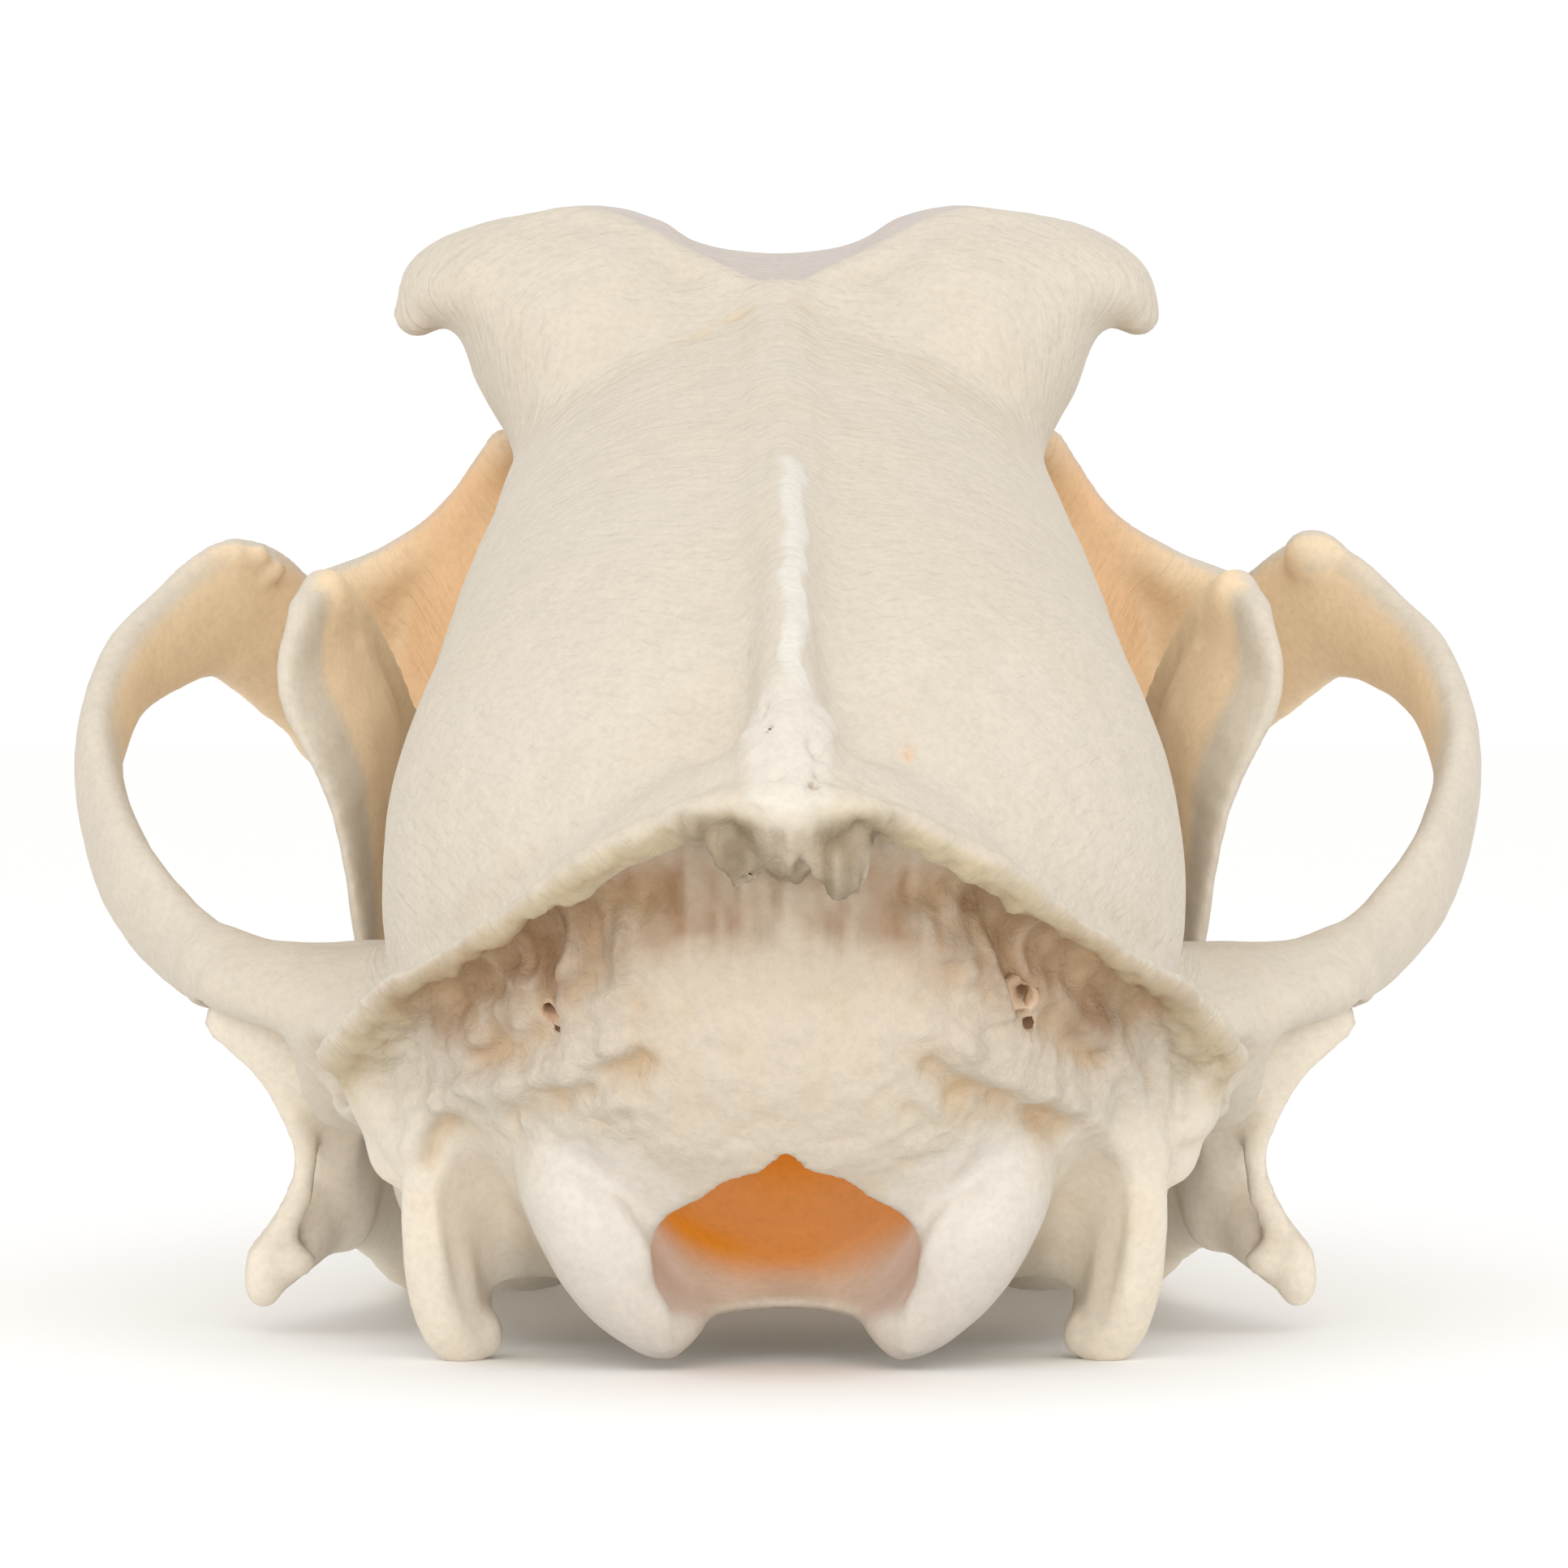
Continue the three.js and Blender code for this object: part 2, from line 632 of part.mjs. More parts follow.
// The arch leaves the braincase above the ear, sweeps out past the jaw's coronoid process and
// meets the upper jaw under the eye, where it is deep and carries a low frontal process.
function addCheekArches(s) {
  const out = ZYGOMATIC_HALF;
  for (const side of SIDES) {
    s.add(sideLimb(side, [0, 1, 0], [
      [28, 29, 17.8, 8, 4.4],
      [34, 30.4, 17.2, 5.6, 3],
      [40, 34.8, 16.8, 4.4, 2.6],
      [44.8, 41, 16, 3.4, 3],
    ]), 2.2);
    s.add(sideLimb(side, [0, 0, 1], [
      [44.8, 41, 16, 3.2, 3],
      [out - 9.8, 48.5, 15.8, 4, 2.4],
      [out - 4.8, 57, 18.6, 4.6, 2.1],
      [out - 2, 68, 23, 4.6, 2],
      [out - 3.4, 78, 26, 4.2, 2.1],
      [out - 7, 85, 27.6, 4.8, 2.2],
      [out - 12, 91.5, 28, 6.2, 2.4],
      [out - 17, 98, 22.4, 8, 3],
      [38, 104, 17, 9.6, 4],
      [32.5, 109, 14, 11, 5],
    ]), 2);
    // The shelf over the jaw joint, with the process behind it, hollowed for the jaw's condyle.
    s.add(sideLimb(side, [0, 1, 0], [
      [29, 33, 17, 7, 3],
      [37, 35.6, 17, 6, 2.4],
      [44, 38.4, 16.8, 4, 2],
    ]), 1.6);
    s.add(sideLimb(side, [1, 0, 0], [
      [33, 29, 14, 6, 2.6],
      [33.5, 30.5, 9, 5, 2],
      [34, 31.5, 6.4, 3.6, 1.5],
    ]), 2);
    s.cut(sideLimb(side, [0, 0, 1], jawCondyle(JOINT_GAP)), 0.6);
  }
}

// Muzzle

function addMuzzle(s) {
  const tip = MUZZLE_TIP_Y;
  s.add(loft([
    [90, 26, 3, 8, 18],
    [98, 32, 3, 12, 34],
    [106, 34.5, 2, 13, 48],
    [114, 33.5, 1, 12, 48],
    [124, 28.5, 0.5, 11, 44],
    [137, 23.5, 0.5, 10, 40],
    [152, 20.6, 0.5, 10, 36.4],
    [162, 22, 0.5, 10, 34],
    [174, 19.6, 0.5, 9, 31],
    [180.5, 15.4, 0.5, 8, 26],
    [tip, 10, 1, 6, 17],
  ], 1.75, 3.4), 2.5);
  for (const side of SIDES) {
    // The swelling over the canine's root, then the ridge in which the cheek teeth are set.
    s.add(sideLimb(side, [0, 0, 1], [[21, 163, 4, 5, 4], [20.5, 155, 12, 6, 3.6], [19, 148, 19, 4, 3]]), 3);
    s.add(sideLimb(side, [0, 0, 1], [
      [25.6, 85, 6.6, 4.4, 4],
      [28.6, 97, 6, 4.8, 5.4],
      [29.8, 110, 5.8, 4.8, 5],
      [26.6, 124, 5.6, 4.6, 4],
      [23, 137, 5.4, 4.6, 3.6],
      [20.8, 150, 5.4, 4.6, 3.6],
      [19.4, 163, 5.6, 4.8, 4.6],
    ]), 2.5);
    s.cut(sideBall(side, [31, 129, 17], [3, 6, 4.6], [0, 0, 25]), 2);
    // The notch in which the lower canine stands when the jaws close.
    s.cut(sideLimb(side, [0, 1, 0], [
      [15.2, 170.6, -3, 4, 4],
      [16.6, 171.2, 2, 3.2, 3.2],
      [18.8, 171.8, 7, 2, 2],
    ]), 1);
  }
  // The vaulted palate.
  s.cut(limb([1, 0, 0], [
    [0, 84, -1.6, 17, 4],
    [0, 108, -1.6, 20, 4.2],
    [0, 136, -1.6, 14, 3.6],
    [0, 170, -1.6, 9, 3],
  ]), 2);
  // The nasal opening at the front and the passage that leaves above the palate at the back.
  s.cut(limb([1, 0, 0], [
    [0, tip + 8, 22, 9, 10],
    [0, tip - 6, 19.5, 10.5, 10.4],
    [0, tip - 22, 18.5, 11, 9],
    [0, tip - 44, 19, 10, 8],
  ]), 2);
  s.cut(limb([1, 0, 0], [
    [0, 58, -2, 9.6, 6],
    [0, 76, 3.5, 8.6, 6.5],
    [0, 96, 9.5, 9.5, 5],
    [0, 112, 13, 9, 4],
  ]), 2);
}

// The thin walls behind the palate, each ending in a small hook.
function addPterygoids(s) {
  for (const side of SIDES)
    s.add(sideLimb(side, [0, 0, 1], [
      [11, 60, 10, 6, 1.4],
      [11.5, 70, 6, 8, 1.4],
      [12.5, 80, 5.5, 8.5, 1.6],
      [15, 90, 7, 7, 2.2],
      [19, 97, 6, 5, 3],
    ]), 2);
}

// The eye sockets, open behind.
function cutOrbits(s) {
  for (const side of SIDES) {
    s.cut(sideLimb(side, [0, 1, 0], [
      [33, 80, 30, 12, 11],
      [35, 86, 38, 13, 12],
      [38, 88, 48, 12, 13],
    ]), 3);
    s.cut(sideBall(side, [31, 94, 40], [9, 11, 10], [0, 0, -20]), 3);
  }
}

function cranium() {
  const s = new Sculpt([-65, -28, -14], [65, 190, 74]);
  addVault(s);
  addMuzzle(s);
  addPterygoids(s);
  cutOrbits(s);
  addForehead(s);
  addOcciput(s);
  addBullae(s);
  addCheekArches(s);
  addNuchalCrest(s);
  addSagittalCrest(s);
  cutCranialCavity(s);
  return s;
}

// Lower jaw

function jawHalf(side) {
  const low = [side > 0 ? -4 : -54, 24, -44];
  const s = new Sculpt(low, [low[0] + 58, 190, 50]);
  const add = (wide, knots, blend) => s.add(sideLimb(side, wide, knots), blend);
  // The body, deepest under the first molar.
  add([0, 0, 1], [
    [36, 45, -4, 6.4, 2.6],
    [33.6, 58, -8.6, 8.4, 3],
    [30.8, 74, -16.6, 10.6, 4.6],
    [28, 90, -22.8, 12, 5.6],
    [25.5, 107, -24.4, 12, 5.6],
    [22.6, 124, -22.6, 11, 5.2],
    [18.8, 141, -19.6, 9.8, 5],
    [14.4, 156, -16.4, 8.8, 5.2],
    [10.2, 168, -12.8, 7.6, 5.2],
    [6.4, 176.6, -9.4, 5.6, 4.4],
  ]);
  // The two halves meet at the chin.
  add([0, 0.2, 1], [
    [4.8, 152, -17.5, 5.6, 5.6],
    [4.6, 163, -14, 6.4, 5.6],
    [4.2, 173.5, -10, 5.6, 5],
  ], 2);
  // The ramus: a thin plate whose hind edge flares outwards near the top.
  add([0, 1, 0], [
    [33.6, 60, -6, 19, 2.6, [-0.18, 1, 0]],
    [33.2, 58.5, 6, 18, 1.9, [-0.14, 1, 0]],
    [33.2, 57, 16, 16.5, 1.6, [-0.12, 1, 0]],
    [34.6, 56, 28, 13, 1.6, [-0.2, 1, 0]],
    [37.2, 56.4, 36, 9.4, 1.7, [-0.32, 1, 0]],
    [37.8, 57, 41, 5, 1.5, [-0.3, 1, 0]],
  ], 1.5);
  // The thickened front edge of the coronoid process.
  add([0, 1, 0], [
    [29.4, 82, -12, 5, 3.6],
    [29.8, 77.5, 4, 4, 2.8],
    [31.4, 70.5, 20, 3, 2.2],
    [34.6, 64, 35, 2.2, 1.8],
    [37, 58.5, 41.2, 2, 1.6],
  ], 2);
  // The condyle, the neck that carries it and the angular process below.
  add([0, 0, 1], jawCondyle(0), 0.5);
  add([0, 1, 0], [[37.5, 38.6, 7.5, 3.4, 5.4], [37.6, 42, 1, 4.6, 2.8], [36.4, 47, -5, 7, 2.6]], 2);
  add([0, 0, 1], [[36, 44, -5, 5, 2.4], [38.8, 37, -7.2, 3.6, 2.2], [41, 31.6, -8.2, 2.4, 1.8]], 2);
  // The masseteric hollow on the outer face.
  s.cut(sideBall(side, [41.6, 58, 9], [7, 13, 15], [0, 4, 8]), 2);
  return s;
}

// Teeth

// A cusp: a curved, tapering cone from its root up to a blunt point.
function cusp([x, y, z], { height, width, depth, root, lean, down, rings, facets }) {
  const rootEnd = 0.7;
  const fullness = 0.85;
  const profile = [new THREE.Vector2(0, -root), new THREE.Vector2(rootEnd, -root)];
  for (let n = 0; n <= rings; n++) {
    const t = n / rings;
    profile.push(new THREE.Vector2(Math.max(Math.cos(t * Math.PI / 2), 0) ** fullness, t * height));
  }
  profile[profile.length - 1].x = 0;
  const geometry = new THREE.LatheGeometry(profile, facets);
  geometry.rotateX(Math.PI / 2);
  const place = geometry.attributes.position;
  const sign = down ? -1 : 1;
  for (let n = 0; n < place.count; n++) {
    const t = Math.max(place.getZ(n) / height, 0);
    place.setXYZ(n,
      x + place.getX(n) * (width / 2) + lean[0] * t * t,
      y + place.getY(n) * (depth / 2) + lean[1] * t * t,
      z + sign * place.getZ(n));
  }
  const solid = solidOf(geometry);
  return solid.volume() < 0 ? solidOf(flipped(geometry)) : solid;
}

function flipped(geometry) {
  const index = geometry.index;
  for (let n = 0; n < index.count; n += 3) {
    const first = index.getX(n);
    index.setX(n, index.getX(n + 1));
    index.setX(n + 1, first);
  }
  return geometry;
}

// Upper teeth by name: place of the crown's base, then its cusps as
// [forward, outward, height, length along the jaw, thickness across it].
const UPPER_TEETH = {
  incisor1: { at: [2.5, 181.4, 3], cusps: [[0, 0, 9, 5, 4.4]] },
  incisor2: { at: [7.4, 179.8, 3], cusps: [[0, 0, 9.6, 5.4, 5]] },
  incisor3: { at: [12.4, 177, 3], cusps: [[0, 0, 12, 6.4, 6]] },
  canine: { at: [20.2, 163, 3], cusps: [[0, 0, 24, 11.4, 8.4]], curve: [2.2, -5] },
  premolar1: { at: [20.4, 151.4, 2.6], cusps: [[0, 0, 6.4, 6, 4]] },
  premolar2: { at: [22, 142.6, 2.6], cusps: [[0.4, 0, 8, 8, 4.4], [-3.6, 0, 5.4, 5, 4]] },
  premolar3: { at: [25.4, 129.4, 2.6], cusps: [[0.6, 0, 8.8, 9.4, 5], [-4.6, 0, 6, 5.4, 4.4]] },
  carnassial: {
    at: [30.6, 113.6, 2.6],
    cusps: [[1.6, 0, 11.6, 9.4, 6.6], [-5.2, 0.6, 9.4, 8.4, 5.8], [6.6, -4.6, 6, 5, 4.6]],
  },
  molar1: {
    at: [29.6, 98.2, 2.6],
    cusps: [[3, 2.8, 7.4, 7, 6], [-3, 2.8, 6.6, 6.6, 6], [0, -4.2, 5.6, 9.6, 8.6]],
  },
  molar2: { at: [26.4, 88.4, 2.8], cusps: [[0, 1.6, 5.4, 6.6, 5.6], [-0.4, -2.6, 4.8, 6, 5.4]] },
};

// Lower teeth, in the same order.
const LOWER_TEETH = {
  incisor1: { at: [2.4, 177.4, -7.4], cusps: [[0, 0, 6.6, 4, 3.8]] },
  incisor2: { at: [6.4, 176.8, -7.4], cusps: [[0, 0, 7, 4.6, 4.2]] },
  incisor3: { at: [9.6, 173.4, -7.6], cusps: [[0, 0, 6.8, 4.6, 4.2]] },
  canine: { at: [14.4, 169.5, -8.6], cusps: [[0, 0, 14.2, 7, 7]], curve: [3.6, 2.1] },
  premolar1: { at: [15.8, 157.4, -10.6], cusps: [[0, 0, 6, 5, 3.8]] },
  premolar2: { at: [17.6, 148, -11.4], cusps: [[0.4, 0, 7.6, 7.4, 4.2], [-3.2, 0, 5, 4.6, 3.8]] },
  premolar3: { at: [20, 136.6, -12.6], cusps: [[0.4, 0, 8, 8.4, 4.6], [-3.8, 0, 5.4, 5, 4.2]] },
  premolar4: { at: [22.2, 124.2, -13.8], cusps: [[0.6, 0, 9.2, 9.4, 5], [-4.4, 0, 6.6, 5.6, 4.6]] },
  carnassial: {
    at: [23.4, 107.8, -14],
    cusps: [[6.6, 0, 9.6, 7.8, 5.4], [0.4, 0, 12.6, 10, 6.4], [-7.4, 0, 6.4, 7.4, 6]],
  },
  molar2: { at: [25.6, 90.6, -12.6], cusps: [[1.8, 0, 6, 5, 5.4], [-2, 0, 5, 4.6, 5]] },
  molar3: { at: [27, 82.8, -9.6], cusps: [[0, 0, 3.8, 4.6, 4.2]] },
};

function toothRow(side, teeth, down) {
  const solids = [];
  const tallCusp = 14;
  for (const { at, cusps, curve = [0, 0] } of Object.values(teeth))
    for (const [forward, outward, height, length, thickness] of cusps) {
      const base = [side * (at[0] + outward), at[1] + forward, at[2]];
      const long = height > tallCusp;
      solids.push(cusp(base, {
        height, width: thickness, depth: length, down, lean: mirror(side, curve),
        root: long ? 8 : 4.5, rings: long ? 5 : 2, facets: long ? 8 : 6,
      }));
    }
  return solids;
}

// Parting the cranium

const BASE_TOP_Z = 25; // level at which the sides of the braincase are parted from its base
// A drawn outline's x and y become the skull's y and z, and its depth the skull's x.
const SHEET_TURN = new THREE.Matrix4().set(0, 0, 1, 0, 1, 0, 0, 0, 0, 1, 0, 0, 0, 0, 0, 1);

// A thin wall of PARTING's width that follows a bent line in the y-z plane across the skull.
function sheet(line, halfWidth) {
  const points = line.map(([y, z]) => new THREE.Vector2(y, z));
  const offset = (n, amount) => {
    const before = points[Math.max(n - 1, 0)];
    const after = points[Math.min(n + 1, points.length - 1)];
    const along = after.clone().sub(before).normalize();
    return points[n].clone().add(new THREE.Vector2(-along.y, along.x).multiplyScalar(amount));
  };
  const count = points.length;
  const outline = [
    ...points.map((_, n) => offset(n, PARTING / 2)),
    ...points.map((_, n) => offset(count - 1 - n, -PARTING / 2)),
  ];
  const geometry = new THREE.ExtrudeGeometry(new THREE.Shape(outline), {
    depth: 2 * halfWidth, bevelEnabled: false });
  geometry.translate(0, 0, -halfWidth);
  return solidOf(geometry.applyMatrix4(SHEET_TURN));
}

// A thin upright wall along the midline that parts the two sides of the braincase. Its outline
// follows the cuts around the braincase.
function midlineCut() {
  const outline = [
    [13.5, BASE_TOP_Z], [77.2, BASE_TOP_Z], [76, 31], [67, 50], [62, 80],
    [-16, 80], [-15.2, 58], [-8, 50], [12, 29],
  ].map(([y, z]) => new THREE.Vector2(y, z));
  const geometry = new THREE.ExtrudeGeometry(new THREE.Shape(outline), {
    depth: PARTING, bevelEnabled: false });
  geometry.translate(0, 0, -PARTING / 2);
  return solidOf(geometry.applyMatrix4(SHEET_TURN));
}

// A thin flat wall between a cheek arch and the bone it grows from.
function archCut(side, [x, y, z], turn, [depth, height]) {
  const geometry = new THREE.BoxGeometry(depth, PARTING, height);
  geometry.rotateZ(side * THREE.MathUtils.degToRad(turn));
  geometry.translate(side * x, y, z);
  return solidOf(geometry);
}

function partings() {
  const cuts = [
    // Between the occiput and the braincase, in front of the nuchal crest.
    sheet([[-16, 80], [-15.2, 58], [-8, 50], [12, 29], [16, 18], [15, -30]], 48),
    // Between the braincase and the forehead, then the orbit's floor up to the bridge of the nose.
    sheet([[62, 80], [67, 50], [76, 31], [96, 34], [114, 44], [124, 80]], 36),
    // Between the braincase and the muzzle, behind the last molars.
    sheet([[76, 30.9], [80, 12], [80, -30]], 31),
    // Between the two sides of the braincase and its base, level above the ear openings.
    sheet([[13.5, BASE_TOP_Z], [77.2, BASE_TOP_Z]], 36),
    midlineCut(),
  ];
  for (const side of SIDES) {
    cuts.push(archCut(side, [ZYGOMATIC_HALF - 10.2, 45, 16], -36, [16, 24]));
    cuts.push(archCut(side, [ZYGOMATIC_HALF - 18.3, 101.6, 18], 38, [24, 40]));
  }
  return cuts;
}

// Materials

const bone = (color) => new THREE.MeshStandardMaterial({ color, roughness: 0.62, metalness: 0 });
const IVORY = 0xeae0d0;
const FOREHEAD_IVORY = 0xe4dace;
const ARCH_IVORY = 0xe6d8c0;
const JAW_IVORY = 0xe2d2b8;

// Assembly

// Turns a solid from the skull's frame to the frame in which it rests.
function settle(solid, turn) {
  const mesh = solid.getMesh();
  const geometry = new THREE.BufferGeometry();
  geometry.setAttribute('position', new THREE.BufferAttribute(new Float32Array(mesh.vertProperties), 3));
  geometry.setIndex(new THREE.BufferAttribute(new Uint32Array(mesh.triVerts), 1));
  return geometry.applyMatrix4(turn);
}

function build() {
  const whole = biggest(solidOfMesh(thin(surface(cranium()), CRANIUM_FACES)));
  const parted = partings().reduce((solid, cut) => solid.subtract(cut), whole).decompose();
  const centreOf = (solid) => {
    const box = solid.boundingBox();
    return new THREE.Vector3(...box.min).add(new THREE.Vector3(...box.max)).multiplyScalar(0.5);
  };
  const least = 500;
  const large = parted.filter((solid) => solid.volume() > least);
  const pieceAt = (...place) => {
    const spot = new THREE.Vector3(...place);
    return large.reduce((a, b) => (centreOf(b).distanceTo(spot) < centreOf(a).distanceTo(spot) ? b : a));
  };
  const solids = {
    braincase_left: pieceAt(-15, 38, 42),
    braincase_right: pieceAt(15, 38, 42),
    cranial_base: pieceAt(0, 46, 10),
    occiput: pieceAt(0, 0, 26),
    frontal: pieceAt(0, 92, 52),
    muzzle: pieceAt(0, 128, 20),
    zygomatic_arch_left: pieceAt(-52, 70, 20),
    zygomatic_arch_right: pieceAt(52, 70, 20),
  };
  for (const side of SIDES)
    for (const tooth of toothRow(side, UPPER_TEETH, true)) solids.muzzle = solids.muzzle.add(tooth);
  for (const side of SIDES) {
    let half = solidOfMesh(thin(surface(jawHalf(side)), JAW_FACES));
    for (const tooth of toothRow(side, LOWER_TEETH, false)) half = half.add(tooth);
    // The halves keep a thin gap at the midline.
    const beyond = new THREE.BoxGeometry(40, 400, 400);
    beyond.translate(-side * (20 - PARTING / 2), 0, 0);
    half = half.subtract(solidOf(beyond));
    solids[side > 0 ? 'mandible_right' : 'mandible_left'] = half;
  }
  return solids;
}

const COLOURS = {
  braincase_left: IVORY,
  braincase_right: IVORY,
  cranial_base: IVORY,
  occiput: IVORY,
  frontal: FOREHEAD_IVORY,
  muzzle: IVORY,
  zygomatic_arch_left: ARCH_IVORY,
  zygomatic_arch_right: ARCH_IVORY,
  mandible_left: JAW_IVORY,
  mandible_right: JAW_IVORY,
};

// The skull rests on the paracondylar tips and under the lower jaw, each worn to a small flat.
function rest(solids) {
  const tilt = new THREE.Matrix4().makeRotationX(REST_TILT).setPosition(0, -REST_BACK, REST_LIFT);
  const slab = { width: 400, depth: 40 };
  const floor = new THREE.BoxGeometry(slab.width, slab.width, slab.depth);
  floor.translate(0, 0, -slab.depth / 2);
  const floorSolid = solidOf(floor);
  const group = new THREE.Group();
  for (const [name, solid] of Object.entries(solids)) {
    const worn = biggest(solidOf(settle(biggest(solid), tilt)).subtract(floorSolid));
    const mesh = new THREE.Mesh(settle(worn, new THREE.Matrix4()), bone(COLOURS[name]));
    mesh.name = name;
    group.add(mesh);
  }
  return group;
}

export default rest(build());
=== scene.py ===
import math

import bpy
import numpy as np
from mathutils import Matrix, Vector


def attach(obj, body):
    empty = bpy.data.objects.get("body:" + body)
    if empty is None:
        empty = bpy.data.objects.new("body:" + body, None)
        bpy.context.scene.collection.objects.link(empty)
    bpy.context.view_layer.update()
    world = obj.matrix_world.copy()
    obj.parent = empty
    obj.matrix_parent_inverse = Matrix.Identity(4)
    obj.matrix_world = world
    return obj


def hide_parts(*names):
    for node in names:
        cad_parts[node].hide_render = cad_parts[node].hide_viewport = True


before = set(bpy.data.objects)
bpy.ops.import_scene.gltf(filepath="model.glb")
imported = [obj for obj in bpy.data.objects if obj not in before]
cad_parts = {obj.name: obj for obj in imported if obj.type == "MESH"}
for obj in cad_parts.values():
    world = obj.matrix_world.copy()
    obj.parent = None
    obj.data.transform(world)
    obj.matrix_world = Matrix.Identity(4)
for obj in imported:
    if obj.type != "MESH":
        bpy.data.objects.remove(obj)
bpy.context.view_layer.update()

# Braincase
# The rounded box of thin bone that held the brain, narrow behind the eyes and widest above the
# ears. All of the skull but its lower jaw is one grown bone, so it is modelled in one clay.
# Lengths are millimetres in the skull's own frame: x to its right, y towards the snout, z up.
ZYGOMATIC_HALF = 58.8  # half the width across the cheek arches
VAULT_TOP = 60.3  # roof of the braincase beside the crest
WALL = 3.5  # thickness of the braincase wall
FAR = 1e3  # a distance beyond any form
LEFT, RIGHT = -1, 1
SIDES = (LEFT, RIGHT)


def soft_min(a, b, blend):
    """The lesser of two distances, with the crease between them rounded over the blend."""
    h = np.maximum(blend - np.abs(a - b), 0)
    return np.minimum(a, b) - h * h / (4 * blend)


def ellipse_distance(u, v, w, a, b, c):
    """Distance to an ellipsoid with half sizes a, b and c, good near its surface."""
    k0 = np.sqrt((u / a) ** 2 + (v / b) ** 2 + (w / c) ** 2)
    k1 = np.sqrt((u / a**2) ** 2 + (v / b**2) ** 2 + (w / c**2) ** 2)
    return k0 * (k0 - 1) / np.maximum(k1, 1e-9)


class Clay:
    """A field of distances on a grid, below zero inside the bone, that forms are added to."""

    def __init__(self, *axes):
        self.axes = [np.asarray(a, np.float32) for a in axes]
        self.field = np.full([len(a) for a in axes], FAR, np.float32)
        self.cell = max(float(np.diff(a).max()) for a in self.axes)

    def window(self, low, high):
        first = [max(1, int(np.searchsorted(a, v))) for a, v in zip(self.axes, low)]
        last = [min(len(a) - 1, int(np.searchsorted(a, v))) for a, v in zip(self.axes, high)]
        return [slice(a, max(a, b)) for a, b in zip(first, last)]

    def merge(self, form, blend, rule):
        """Joins the pieces of a form, then merges them with the field by a rule."""
        margin = blend + self.cell
        low = np.min([piece[0] for piece in form], axis=0) - margin
        high = np.max([piece[1] for piece in form], axis=0) + margin
        whole = self.window(low, high)
        near = np.full([s.stop - s.start for s in whole], FAR, np.float32)
        if not near.size:
            return
        for piece_low, piece_high, distance in form:
            part = self.window(piece_low - margin, piece_high + margin)
            if any(s.stop <= s.start for s in part):
                continue
            x, y, z = np.ix_(*[a[s] for a, s in zip(self.axes, part)])
            inner = tuple(slice(p.start - w.start, p.stop - w.start) for p, w in zip(part, whole))
            np.minimum(near[inner], distance(x, y, z), out=near[inner])
        whole = tuple(whole)
        self.field[whole] = rule(self.field[whole], near)

    def add(self, form, blend=0.01):
        self.merge(form, blend, lambda a, b: soft_min(a, b, blend))

    def cut(self, form, blend=0.01):
        self.merge(form, blend, lambda a, b: -soft_min(-a, b, blend))


def ball(centre, radii, turn=(0, 0, 0)):
    """An ellipsoid, turned by angles in degrees about x, y and z."""
    (cx, cy, cz), (sx, sy, sz) = np.cos(np.radians(turn)), np.sin(np.radians(turn))
    about_x = np.array([[1, 0, 0], [0, cx, -sx], [0, sx, cx]])
    about_y = np.array([[cy, 0, sy], [0, 1, 0], [-sy, 0, cy]])
    about_z = np.array([[cz, -sz, 0], [sz, cz, 0], [0, 0, 1]])
    back = (about_x @ about_y @ about_z).T
    centre = np.asarray(centre, float)
    reach = max(radii)

    def distance(x, y, z):
        p, q, r = x - centre[0], y - centre[1], z - centre[2]
        return ellipse_distance(*[m[0] * p + m[1] * q + m[2] * r for m in back], *radii)

    return [(centre - reach, centre + reach, distance)]


def spline(points, count):
    """Count + 1 places, evenly numbered, on a smooth curve through the points."""
    p = np.asarray(points, float)
    padded = np.vstack([2 * p[0] - p[1], p, 2 * p[-1] - p[-2]])
    t = np.linspace(0, len(p) - 1, count + 1)
    n = np.minimum(t.astype(int), len(p) - 2)
    f = (t - n)[:, None]
    a, b, c, d = (padded[n + k] for k in range(4))
    f2, f3 = f * f, f * f * f
    return ((2 * f3 - 3 * f2 + 1) * b + (f3 - 2 * f2 + f) * (c - a) / 2
            + (3 * f2 - 2 * f3) * c + (f3 - f2) * (d - b) / 2)


def segment(start, end, size0, size1, wide0, wide1):
    """A short length of an elliptic limb, with rounded ends."""
    along = end - start
    length = float(np.linalg.norm(along))
    t = along / length
    reach = max(*size0, *size1)

    def distance(x, y, z):
        px, py, pz = x - start[0], y - start[1], z - start[2]
        s = np.clip(px * t[0] + py * t[1] + pz * t[2], 0, length)
        f = s / length
        q = [px - t[0] * s, py - t[1] * s, pz - t[2] * s]
        w = [wide0[k] + (wide1[k] - wide0[k]) * f for k in range(3)]
        slant = w[0] * t[0] + w[1] * t[1] + w[2] * t[2]
        w = [w[k] - slant * t[k] for k in range(3)]
        size = np.sqrt(w[0] ** 2 + w[1] ** 2 + w[2] ** 2)
        u = (q[0] * w[0] + q[1] * w[1] + q[2] * w[2]) / size
        axial = q[0] * t[0] + q[1] * t[1] + q[2] * t[2]
        square = q[0] ** 2 + q[1] ** 2 + q[2] ** 2
        v = np.sqrt(np.maximum(square - u * u - axial * axial, 0))
        a = size0[0] + (size1[0] - size0[0]) * f
        b = size0[1] + (size1[1] - size0[1]) * f
        return ellipse_distance(u, v, axial, a, b, np.minimum(a, b))

    return np.minimum(start, end) - reach, np.maximum(start, end) + reach, distance


